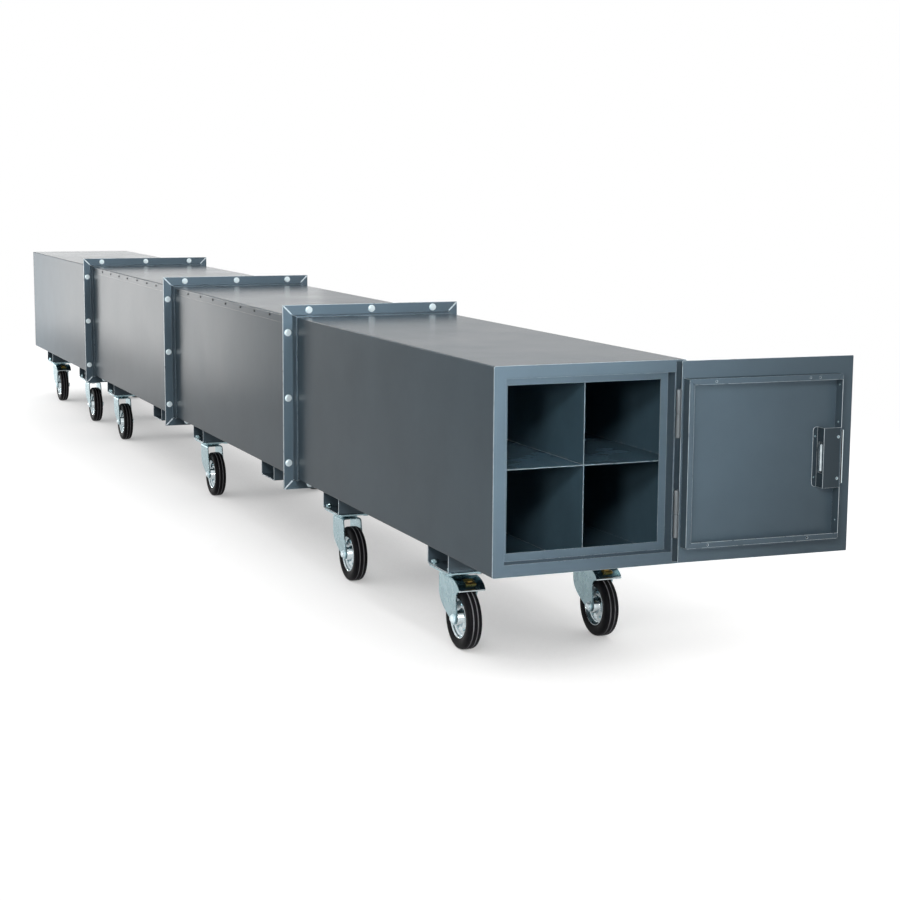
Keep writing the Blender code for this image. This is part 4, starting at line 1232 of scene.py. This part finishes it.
def fork_silhouette(braked):
    """Side outline of a fork as (y, z) about its swivel axis, wheel towards the front."""
    axle = (-CASTOR_TRAIL, WHEEL_RADIUS)
    above = CROWN_TOP + FORK_SHEET
    boss = arc_points(axle, BOSS_RADIUS, -50, -180, 14)
    rear_end = (FORK_REAR, CROWN_TOP - FORK_STRAIGHT)
    low_pull = (FORK_REAR, WHEEL_RADIUS + BOSS_RADIUS)
    boss_pull = (boss[0][0] + BOSS_RADIUS, boss[0][1] + BOSS_RADIUS)
    outline = [(-FORK_FRONT, above), (FORK_REAR, above), rear_end]
    outline += curve_points(rear_end, low_pull, boss_pull, boss[0], 14)
    outline += boss[1:]
    if braked:
        back = hood_points(0.0)
        tip, tip_top = back[-1]
        neck = (axle[0] - BOSS_RADIUS, CROWN_TOP - CHEEK_DROP - 2 * CHEEK_DEPTH)
        corner = (neck[0] - CHEEK_DEPTH, tip_top - CHEEK_DEPTH)
        outline.append(neck)
        outline += curve_points(neck, (neck[0], corner[1]), corner, corner, 5)
        outline.append((tip + 0.002, tip_top - 0.45 * CHEEK_DEPTH))
        outline += reversed(back)
    return outline


def fork_section():
    """U section of a fork as (x, z) with rounded shoulders."""
    inner = FORK_HALF - FORK_SHEET
    foot = WHEEL_RADIUS - BOSS_RADIUS - FORK_SHEET
    turn_z = CROWN_TOP - FORK_SHOULDER
    turn_x = FORK_HALF - FORK_SHOULDER
    small = FORK_SHOULDER - FORK_SHEET
    points = [(inner, foot), (FORK_HALF, foot)]
    points += arc_points((turn_x, turn_z), FORK_SHOULDER, 0, 90, 6)
    points += arc_points((-turn_x, turn_z), FORK_SHOULDER, 90, 180, 6)
    points += [(-FORK_HALF, foot), (-inner, foot)]
    points += arc_points((-turn_x, turn_z), small, 180, 90, 4)
    points += arc_points((turn_x, turn_z), small, 90, 0, 4)
    return points


def race_shape():
    """Ball race between fork and plate: a lower cup, the gap and an upper ring."""
    low = CROWN_TOP - 0.001
    top = CROWN_TOP + RACE_HEIGHT
    rim = RACE_RADIUS
    profile = (
        (0, low), (0.024, low), (0.0275, CROWN_TOP + 0.0030), (rim - 0.0025, CROWN_TOP + 0.0036),
        (rim, CROWN_TOP + 0.0046), (rim, CROWN_TOP + 0.0062), (rim - 0.002, CROWN_TOP + 0.0066),
        (rim - 0.002, CROWN_TOP + 0.0074), (rim - 0.0004, CROWN_TOP + 0.0078), (rim - 0.0004, top - 0.0010),
        (rim - 0.0016, top), (0, top),
    )
    return lathe(profile, 48, "z")


def axle_fittings():
    """Axle, washers, bolt head and dome nut of a fork, about the swivel axis."""
    place = Matrix.Translation((0.0, -CASTOR_TRAIL, WHEEL_RADIUS))
    ends = (-FORK_HALF, FORK_HALF)
    axle = lathe(((0, ends[0]), *((AXLE_RADIUS, end) for end in ends), (0, ends[1])), 24, "x")
    fittings = [moved(axle, place)]
    for turn_deg, height, dome in ((-90, 0.0050, 0.0038), (90, 0.0080, 0.0)):
        head = hexagon(
            AXLE_FLATS, FORK_HALF - GAP, FORK_HALF + height, dome, washer=0.0120, washer_height=0.0016)
        fittings.append(moved(head, place @ Matrix.Rotation(math.radians(turn_deg), 4, "Y")))
    return fittings


def kingpin_shape():
    """Riveted end of the swivel pin, under the crown."""
    top = CROWN_TOP - FORK_SHEET + GAP
    profile = ((0, top), (0.0125, top), (0.0125, top - 0.003), (0.010, top - 0.0055), (0.005, top - 0.0066),
               (0, top - 0.0068))
    return lathe(profile, 24, "z")


def fork_mesh(braked):
    """A pressed fork with its race, axle and pin, about the swivel axis."""
    reach = FORK_REAR + CASTOR_TRAIL + CHEEK_REACH
    blank = extrusion(fork_section(), "y", -reach, reach)
    trim = extrusion(fork_silhouette(braked), "x", -2 * FORK_HALF, 2 * FORK_HALF)
    fork = carve(blank, trim, "INTERSECT")
    return finish_mesh("castor_fork", joined([fork, race_shape(), kingpin_shape()]))


def castors():
    """Each castor's label and the place of its swivel on the floor."""
    for station in STATIONS:
        for side in SIDES:
            x, y, _ = JOINTS[f"swivel_{station}_{side}"]["pos_m"]
            yield f"{station}_{side}", Matrix.Translation((x, y, 0.0))


def placed(mesh, place):
    """A copy of a mesh at its place."""
    copy = mesh.copy()
    copy.transform(place)
    return copy


def build_forks():
    """Castor forks and their axle bolts, each on its own swivel."""
    forks = {braked: fork_mesh(braked) for braked in (True, False)}
    axle = finish_mesh("castor_axle", joined(axle_fittings()))
    for label, place in castors():
        body = f"castor_{label}"
        node = f"castor_{label}_fork"
        fork = placed(forks[f"brake_{label}" in JOINTS], place)
        add_piece(f"fork_{label}", fork, ("bright_plating",), body, (node,), edge=0.0008)
        add_piece(f"axle_{label}", placed(axle, place), ("galvanised",), body)


def mirrored(half):
    """A (radius, distance) profile closed by its own mirror image across the wheel's middle."""
    return [(radius, -x) for radius, x in half] + [(radius, x) for radius, x in reversed(half)]


def tyre_mesh():
    """Ribbed tyre about its axle, with an attribute for the grooves' pale grey, partly dust and partly a
    painted highlight.
    """
    half = (
        (RIM_RADIUS - 0.0025, 0.0125), (RIM_RADIUS + 0.0005, 0.0150), (RIM_RADIUS + 0.004, 0.0172),
        (0.0610, 0.0191), (0.0670, 0.0199), (0.0715, 0.0195), (0.0752, 0.0182), (0.0776, 0.0163),
        (0.0790, 0.0138), (0.0796, 0.0112), (0.0798, 0.0090), (0.0796, 0.0076), (0.0782, 0.0070),
        (0.0782, 0.0054), (0.0797, 0.0048), (0.0800, 0.0036), (0.0800, 0.0012),
    )
    # How much pale grey each point of the tread takes: partly dust, partly a painted highlight.
    groove = (0.14, 0.7, 0.7, 0.14, 0.0, 0.0)
    dust = (0.0,) * (len(half) - len(groove)) + groove
    segments = 72
    mesh = finish_mesh("castor_tyre", lathe(mirrored(half), segments, "x"), angle=60.0)
    layer = mesh.attributes.new("dust", "FLOAT", "POINT")
    layer.data.foreach_set("value", [value for value in dust + dust[::-1] for _ in range(segments)])
    return mesh


def rim_mesh():
    """Pressed disc rim with rolled lips, a swaged disc and a hub, about its axle."""
    half = (
        (0.0066, 0.0247), (0.0105, 0.0247), (0.0112, 0.0238), (0.0150, 0.0238), (HUB_RADIUS - 0.001, 0.0236),
        (HUB_RADIUS, 0.0226), (HUB_RADIUS, 0.0085), (HUB_RADIUS + 0.0018, 0.0066), (0.0270, 0.0058),
        (0.0300, 0.0072), (0.0360, 0.0078), (0.0410, 0.0070), (0.0440, 0.0066), (0.0462, 0.0078),
        (0.0476, 0.0120), (0.0488, 0.0152), (0.0502, 0.0166), (0.0516, 0.0164), (0.0520, 0.0150),
        (0.0505, 0.0140), (0.0500, 0.0100),
    )
    return finish_mesh("castor_rim", lathe(mirrored(half), 72, "x"), angle=50.0)


def build_wheels():
    """Tyres, rims and rim rivets, each on its own axle."""
    tyre = tyre_mesh()
    rim = rim_mesh()
    for label, _ in castors():
        centre = Vector(JOINTS[f"roll_{label}"]["pos_m"])
        place = Matrix.Translation(centre)
        body = f"wheel_{label}"
        node = f"castor_{label}_wheel"
        add_piece(f"tyre_{label}", placed(tyre, place), ("tyre_rubber",), body, (node,))
        add_piece(f"rim_{label}", placed(rim, place), ("pale_plating",), body)
        spots = []
        for k in range(RIM_RIVETS):
            angle = math.tau * k / RIM_RIVETS
            y = RIM_RIVET_CIRCLE * math.sin(angle)
            z = RIM_RIVET_CIRCLE * math.cos(angle)
            for out in (-1, 1):
                spots.append((centre + Vector((out * RIM_RIVET_OUT, y, z)), (out, 0.0, 0.0)))
        rivet = hexagon(flats=0.0064, low=0.0, high=0.0022, dome=0.0006)
        spread_fasteners(f"rim_rivets_{label}", spots, rivet, "bright_plating", body)


def hood_mesh():
    """Brake hood with its rolled front edge, about the swivel axis.

    The hood's outside, its inside and the rolled edge take the first, second and third finish.
    """
    start = math.degrees(math.asin(PEDAL_SETBACK / CHEEK_REACH))
    inner = hood_points(GAP, start)
    outer = hood_points(GAP + PEDAL_SHEET, start)
    ahead = (Vector(outer[-1]) - Vector(outer[-2])).normalized() * PEDAL_LIP
    lip = [(y + ahead.x, z + ahead.y) for y, z in (inner[-1], outer[-1])]
    half = PEDAL_WIDTH / 2
    plate = extrusion(inner + lip + outer[::-1], "x", -half, half)
    bmesh.ops.recalc_face_normals(plate, faces=plate.faces)
    middle = (-FORK_FRONT, CROWN_TOP - 2 * CHEEK_DROP)
    for face in plate.faces:
        centre = face.calc_center_median()
        inward = Vector((0.0, middle[0] - centre.y, middle[1] - centre.z))
        if face.normal.dot(inward) > 0 and abs(face.normal.x) < 0.5:
            face.material_index = 1
    roll_centre = [(a + b) / 2 for a, b in zip(*lip)]
    roll_half = half - PEDAL_ROLL_INSET
    roll = extrusion(arc_points(roll_centre, PEDAL_ROLL, 0, 337.5, 15), "x", -roll_half, roll_half)
    # The rolled edge takes the third finish, pale plating: a painted highlight along the hood's front edge.
    for face in roll.faces:
        face.material_index = 2
    return finish_mesh("brake_hood", joined([plate, roll]))


def tongue_mesh():
    """Release tongue that rises out of the hood, about the swivel axis."""
    start_deg, end_deg, steps = 30.0, 60.0, 8
    seat = GAP + PEDAL_SHEET
    base = hood_points(seat - 0.0004, start_deg, end_deg, steps)
    top = []
    for k in range(steps + 1):
        rise = 0.0022 + 0.0035 * (k / steps) ** 2
        top.append(hood_points(seat + rise, start_deg, end_deg, steps)[k])
    half = TONGUE_WIDTH / 2
    blade = extrusion(base + top[::-1], "x", -half, half)
    ridge_low = hood_points(seat + 0.0018, 36.0, 50.0, 5)
    ridge_top = hood_points(seat + 0.0052, 38.0, 48.0, 5)
    ridge = extrusion(ridge_low + ridge_top[::-1], "x", -half * 0.45, half * 0.45)
    return finish_mesh("release_tongue", joined([blade, ridge]))


def build_brakes():
    """Brake hoods and their release tongues on the corner castors."""
    hood = hood_mesh()
    tongue = tongue_mesh()
    # The pale third finish paints a highlight on the hoods' rolled edges.
    hood_finishes = ("blue_plating", "yellow_plating", "pale_plating")
    for label, place in castors():
        if f"brake_{label}" not in JOINTS:
            continue
        body = f"pedal_{label}"
        node = f"castor_{label}_pedal"
        shell = placed(hood, place)
        add_piece(f"brake_hood_{label}", shell, hood_finishes, body, (node,), edge=0.0007)
        blade = placed(tongue, place)
        add_piece(f"release_tongue_{label}", blade, ("yellow_plating",), body, edge=0.0006)


def hinge_profile(sign):
    """Half of a lift-off hinge as (radius, height) from its parting line; sign is the way it points."""
    half = HINGE_LENGTH / 2
    nose = arc_points((HINGE_RADIUS - 0.0025, half - 0.0025), 0.0025, 0, 90, 4)
    points = [(0, GAP / 2), (HINGE_RADIUS - 0.0016, GAP / 2), (HINGE_RADIUS, GAP / 2 + 0.0016)]
    points += [(HINGE_RADIUS, 0.0050), (HINGE_RADIUS - 0.0005, 0.0054), (HINGE_RADIUS - 0.0005, 0.0062),
               (HINGE_RADIUS, 0.0066)]
    points += nose + [(0, half)]
    return [(radius, sign * height) for radius, height in points]


def drilling(radius, low, high, place, segments=16, end_radius=None):
    """A cutter across the door's sheet between two depths, at (across, height) on the door."""
    end = radius if end_radius is None else end_radius
    cutter = lathe(((0, low), (radius, low), (end, high), (0, high)), segments, "y")
    return moved(cutter, DOOR_PLACE @ Matrix.Translation((place[0], 0.0, place[1])))


def build_door():
    """Door skin, folded tray with its holes, corner welds and edge screws, and the hinges."""
    coat = ("slate_coat_fittings",)
    skin = merged_copy("door_skin")
    add_piece("door_panel", skin, coat, "door", ("door_skin",), edge=0.0006)
    places = [(across, PAN_HIGH - PAN_HOLE_INSET) for across in PAN_HOLES_TOP]
    places += [(across, PAN_LOW + PAN_HOLE_INSET) for across in PAN_HOLES_BASE]
    holes = [drilling(PAN_HOLE_RADIUS, PAN_FACE - 0.002, PAN_FACE + 0.004, place) for place in places]
    pan = carve(merged_copy("door_pan"), joined(holes), "DIFFERENCE")
    add_piece("door_tray", pan, coat, "door", ("door_pan",), edge=0.0006)
    welds = []
    for u, in_u in ((PAN_START, 1), (PAN_END, -1)):
        for z, in_z in ((PAN_LOW, 1), (PAN_HIGH, -1)):
            run = [(u + in_u * far, PAN_FACE, z + in_z * far) for far in (0.0012, PAN_RETURN - 0.001)]
            welds.append([DOOR_PLACE @ Vector(point) for point in run])
    lay_welds("door_tray_welds", welds, "door", -DOOR_OUTWARD, width_share=0.7, finish=coat[0])
    inner = PAN_END - PAN_SHEET
    spots = []
    for height in TRAY_SCREW_HEIGHTS:
        spots.append((DOOR_PLACE @ Vector((inner, TRAY_SCREW_DEPTH, height)), -DOOR_ACROSS))
    screw = screw_head(radius=0.0032, height=0.0024)
    spread_fasteners("door_tray_screws", spots, screw, "bright_plating", "door")
    for label, z in zip(("lower", "upper"), HINGE_CENTRES):
        centre = DOOR_AXIS + Vector((0.0, 0.0, z))
        for half, sign, body in (("frame", -1, "box"), ("door", 1, "door")):
            barrel = moved(lathe(hinge_profile(sign), 32, "z"), centre)
            name = f"hinge_{label}_{half}"
            add_piece(name, barrel, ("slate_coat_gloss",), body, (name + "_half",))


def build_lock():
    """Lock cover with its screws, the sliding bolt and the key cylinder."""
    heights = (LOCK_Z - LOCK_SCREW_RISE, LOCK_Z + LOCK_SCREW_RISE)
    sunk = LOCK_FACE + LOCK_POCKET_DEPTH
    across = PAN_END - LOCK_SCREW_INSET
    pockets = []
    for height in heights:
        place = (across, height)
        pockets.append(drilling(0.0032, LOCK_FACE - 0.001, sunk, place, segments=20, end_radius=0.0028))
    cover = carve(merged_copy("lock_cover"), joined(pockets), "DIFFERENCE")
    coat = ("slate_coat_lock",)
    add_piece("lock_housing", cover, coat, "door", ("lock_cover",), edge=0.0007)
    foot = LOCK_WALL - LOCK_FOOT_SCREW_INSET
    for label, u, depth, head in (
        ("flange", foot, PAN_BASE - PAN_SHEET, screw_head(radius=0.0030, height=0.0018)),
        ("face", across, sunk, screw_head(radius=0.0026, height=0.0012)),
    ):
        spots = [(DOOR_PLACE @ Vector((u, depth, height)), -DOOR_OUTWARD) for height in heights]
        spread_fasteners(f"lock_{label}_screws", spots, head, "bright_plating", "door")
    build_lock_bolt()
    build_key()


def build_lock_bolt():
    """The lock's bolt with its bright nose, and the bar that slides with it behind the cover's slot."""
    bolt = merged_copy("lock_bolt")
    nose = max(vertex.co.dot(DOOR_ACROSS) for vertex in bolt.verts) - LOCK_NOSE
    whole = bolt.verts[:] + bolt.edges[:] + bolt.faces[:]
    bmesh.ops.bisect_plane(bolt, geom=whole, plane_co=DOOR_ACROSS * nose, plane_no=DOOR_ACROSS)
    for face in bolt.faces:
        face.material_index = int(face.calc_center_median().dot(DOOR_ACROSS) > nose)
    finishes = ("dark_steel", "galvanised")
    add_piece("lock_tongue", bolt, finishes, "bolt", ("lock_bolt",), edge=0.0005)
    half = LOCK_BAR_HEIGHT / 2
    tip = LOCK_BAR_RADIUS - LOCK_BAR_CHAMFER
    shoulder = half - LOCK_BAR_CHAMFER
    profile = (
        (0, -half), (tip, -half), (LOCK_BAR_RADIUS, -shoulder),
        (LOCK_BAR_RADIUS, shoulder), (tip, half), (0, half),
    )
    place = (LOCK_WALL + LOCK_BAR_SETBACK, PAN_BASE - LOCK_BOLT_DEPTH, LOCK_Z)
    bar = moved(lathe(profile, 32, "z"), DOOR_PLACE @ Matrix.Translation(place))
    add_piece("lock_slide_bar", bar, ("pale_plating",), "bolt")


def build_key():
    """The key cylinder through the door skin, with its ring and keyway."""
    low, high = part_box("key_cylinder")
    local = DOOR_PLACE.inverted() @ ((low + high) / 2)
    face = KEY_FACE
    profile = (
        (0, -0.0096), (0.0088, -0.0096), (0.0088, 0.0014), (0.0128, 0.0014), (0.0130, 0.0018),
        (0.0130, 0.0030), (0.0118, face), (0.0086, face), (0.0080, face - 0.0007),
        (0.0074, face - 0.0007), (0.0072, face - 0.0002), (0, face - 0.0002),
    )
    keyway = block((-0.0008, 0.0015, -0.0045), (0.0008, 0.01, 0.0045))
    key = carve(lathe(profile, 40, "y"), keyway, "DIFFERENCE")
    moved(key, DOOR_PLACE @ Matrix.Translation((local.x, 0.0, local.z)))
    add_piece("key_barrel", key, ("bright_plating",), "key", ("key_cylinder",))


def aim_lamp(name, place, target, size, power, colour):
    """A soft area lamp pointed at a target."""
    data = bpy.data.lights.new(name, "AREA")
    data.shape = "RECTANGLE"
    data.size, data.size_y = size
    data.energy = power
    data.color = colour
    lamp = link(name, data)
    lamp.location = place
    lamp.rotation_euler = (Vector(target) - Vector(place)).to_track_quat("-Z", "Y").to_euler()
    lamp.visible_camera = False
    return lamp


def seen_ray(tree):
    """One where the camera, a reflection or a clear surface looks, none for light."""
    path = add_node(tree, "ShaderNodeLightPath").outputs
    shiny = maths(tree, "MAXIMUM", path["Is Camera Ray"], path["Is Glossy Ray"])
    return maths(tree, "MAXIMUM", shiny, path["Is Transmission Ray"])


def make_floor(studio):
    """A pale round floor that keeps the lamps' shadows, glows for the eye with a painted shadow near the box,
    fades into the surround and is clear from below.
    """
    shape = bmesh.new()
    bmesh.ops.create_circle(shape, cap_ends=True, segments=96, radius=FLOOR_RADIUS)
    mesh = bpy.data.meshes.new("studio_floor")
    shape.to_mesh(mesh)
    shape.free()
    material = bpy.data.materials.new("studio_floor")
    material.use_nodes = True
    tree = material.node_tree
    tree.nodes.clear()
    matt = add_node(tree, "ShaderNodeBsdfDiffuse", {"Color": (*studio.floor, 1.0)})
    # The floor's glow is dimmed by ambient occlusion near the box: a painted shadow.
    open_share = add_node(tree, "ShaderNodeAmbientOcclusion", {"Distance": 0.7}, samples=12).outputs["AO"]
    shaded = remap(tree, open_share, 0.0, 1.0, studio.floor_lift * FLOOR_SHADE, studio.floor_lift)
    glow = add_node(tree, "ShaderNodeEmission", {"Strength": maths(tree, "MULTIPLY", seen_ray(tree), shaded)})
    lit = add_node(tree, "ShaderNodeAddShader", {0: matt.outputs[0], 1: glow.outputs[0]})
    clear = add_node(tree, "ShaderNodeBsdfTransparent")
    place = add_node(tree, "ShaderNodeTexCoord").outputs["Object"]
    oval = add_node(tree, "ShaderNodeVectorMath", {0: place, 1: FLOOR_OVAL}, operation="DIVIDE")
    far = add_node(tree, "ShaderNodeVectorMath", {0: oval.outputs[0]}, operation="LENGTH")
    fade = add_node(tree, "ShaderNodeMapRange", {
        "Value": far.outputs["Value"], "From Min": 0.45, "From Max": 1.0}, interpolation_type="SMOOTHSTEP")
    below = add_node(tree, "ShaderNodeNewGeometry").outputs["Backfacing"]
    gone = maths(tree, "MAXIMUM", fade.outputs["Result"], below)
    whole = add_node(tree, "ShaderNodeMixShader", {0: gone, 1: lit.outputs[0], 2: clear.outputs[0]})
    add_node(tree, "ShaderNodeOutputMaterial", {"Surface": whole.outputs[0]})
    mesh.materials.append(material)
    link("studio_floor", mesh)


def make_world(studio):
    """White to the eye and in reflections, a softer white as light."""
    world = bpy.data.worlds.new("studio")
    bpy.context.scene.world = world
    world.use_nodes = True
    tree = world.node_tree
    feed(tree, tree.nodes["Background"], {
        "Color": (1.0, 1.0, 1.0, 1.0),
        "Strength": remap(tree, seen_ray(tree), 0.0, 1.0, studio.surround, 1.0),
    })


def make_camera(studio):
    """The camera at the photograph's place."""
    data = bpy.data.cameras.new("camera")
    data.sensor_width = 36.0
    data.lens = studio.lens
    data.clip_end = 200.0
    camera = link("camera", data)
    ahead = Vector((
        math.sin(CAMERA_YAW) * math.cos(CAMERA_PITCH),
        math.cos(CAMERA_YAW) * math.cos(CAMERA_PITCH),
        -math.sin(CAMERA_PITCH),
    ))
    level = Vector((math.cos(CAMERA_YAW), -math.sin(CAMERA_YAW), 0.0))
    above = level.cross(ahead)
    right = level * math.cos(CAMERA_ROLL) + above * math.sin(CAMERA_ROLL)
    up = above * math.cos(CAMERA_ROLL) - level * math.sin(CAMERA_ROLL)
    turn = Matrix((right, up, -ahead)).transposed().to_4x4()
    camera.matrix_world = Matrix.Translation(CAMERA_PLACE) @ turn
    bpy.context.scene.camera = camera


def set_stage():
    """Floor, surround, lamps and camera."""
    scene = bpy.context.scene
    studio = scene.pipe_box_studio
    scene.view_settings.view_transform = "Standard"
    make_floor(studio)
    make_world(studio)
    for name, (place, target, size, colour) in LAMPS.items():
        lamp = aim_lamp(name, place, target, size, getattr(studio, name), colour)
        if name == "front":
            lamp.data.spread = math.radians(FRONT_SPREAD_DEG)
            lamp.visible_glossy = False
    make_camera(studio)


class PIPE_BOX_OT_sheetwork(Operator):
    """Paint the shells, dividers and door frame"""

    bl_idname = "pipe_box.sheetwork"
    bl_label = "Sheetwork"

    def execute(self, context):
        dress_sheetwork()
        return {"FINISHED"}


class PIPE_BOX_OT_lid_lips(Operator):
    """Add the riveted lid lips of the middle sections"""

    bl_idname = "pipe_box.lid_lips"
    bl_label = "Lid lips"

    def execute(self, context):
        add_lid_lips()
        return {"FINISHED"}


class PIPE_BOX_OT_flanges(Operator):
    """Build the bolted angle frames at the joints"""

    bl_idname = "pipe_box.flanges"
    bl_label = "Flanges"

    def execute(self, context):
        build_flanges()
        return {"FINISHED"}


class PIPE_BOX_OT_channels(Operator):
    """Build the cross channels and castor plates"""

    bl_idname = "pipe_box.channels"
    bl_label = "Channels"

    def execute(self, context):
        build_channels()
        return {"FINISHED"}


class PIPE_BOX_OT_forks(Operator):
    """Build the castor forks"""

    bl_idname = "pipe_box.forks"
    bl_label = "Castor forks"

    def execute(self, context):
        build_forks()
        return {"FINISHED"}


class PIPE_BOX_OT_wheels(Operator):
    """Build the castor wheels"""

    bl_idname = "pipe_box.wheels"
    bl_label = "Castor wheels"

    def execute(self, context):
        build_wheels()
        return {"FINISHED"}


class PIPE_BOX_OT_brakes(Operator):
    """Build the brake hoods and release tongues"""

    bl_idname = "pipe_box.brakes"
    bl_label = "Brakes"

    def execute(self, context):
        build_brakes()
        return {"FINISHED"}


class PIPE_BOX_OT_door(Operator):
    """Build the door and its hinges"""

    bl_idname = "pipe_box.door"
    bl_label = "Door"

    def execute(self, context):
        build_door()
        return {"FINISHED"}


class PIPE_BOX_OT_lock(Operator):
    """Build the lock on the door"""

    bl_idname = "pipe_box.lock"
    bl_label = "Lock"

    def execute(self, context):
        build_lock()
        return {"FINISHED"}


class PIPE_BOX_OT_stage(Operator):
    """Set up the floor, the light and the camera"""

    bl_idname = "pipe_box.stage"
    bl_label = "Stage"

    def execute(self, context):
        set_stage()
        return {"FINISHED"}


STEPS = (
    PIPE_BOX_OT_sheetwork, PIPE_BOX_OT_lid_lips, PIPE_BOX_OT_flanges, PIPE_BOX_OT_channels, PIPE_BOX_OT_forks,
    PIPE_BOX_OT_wheels, PIPE_BOX_OT_brakes, PIPE_BOX_OT_door, PIPE_BOX_OT_lock, PIPE_BOX_OT_stage,
)
SETTINGS = {
    "pipe_box_paint": PaintSettings,
    "pipe_box_hardware": HardwareSettings,
    "pipe_box_studio": StudioSettings,
}


class PIPE_BOX_PT_panel(Panel):
    """Sidebar panel with the settings and the building steps"""

    bl_idname = "PIPE_BOX_PT_panel"
    bl_label = "Pipe storage box"
    bl_space_type = "VIEW_3D"
    bl_region_type = "UI"
    bl_category = "Pipe Box"

    def draw(self, context):
        layout = self.layout
        for setting in SETTINGS:
            group = getattr(context.scene, setting)
            box = layout.box()
            for key in group.__annotations__:
                box.prop(group, key)
        for step in STEPS:
            layout.operator(step.bl_idname)


def register():
    """Make the settings, steps and panel known to Blender."""
    for item in (*SETTINGS.values(), *STEPS, PIPE_BOX_PT_panel):
        bpy.utils.register_class(item)
    for setting, kind in SETTINGS.items():
        setattr(bpy.types.Scene, setting, PointerProperty(type=kind))


def unregister():
    """Take them away again."""
    for setting in SETTINGS:
        delattr(bpy.types.Scene, setting)
    for item in reversed((*SETTINGS.values(), *STEPS, PIPE_BOX_PT_panel)):
        bpy.utils.unregister_class(item)


def main():
    """Register, then build every piece in order."""
    register()
    for step in STEPS:
        group, _, name = step.bl_idname.partition(".")
        getattr(getattr(bpy.ops, group), name)()


if __name__ == "__main__":
    main()
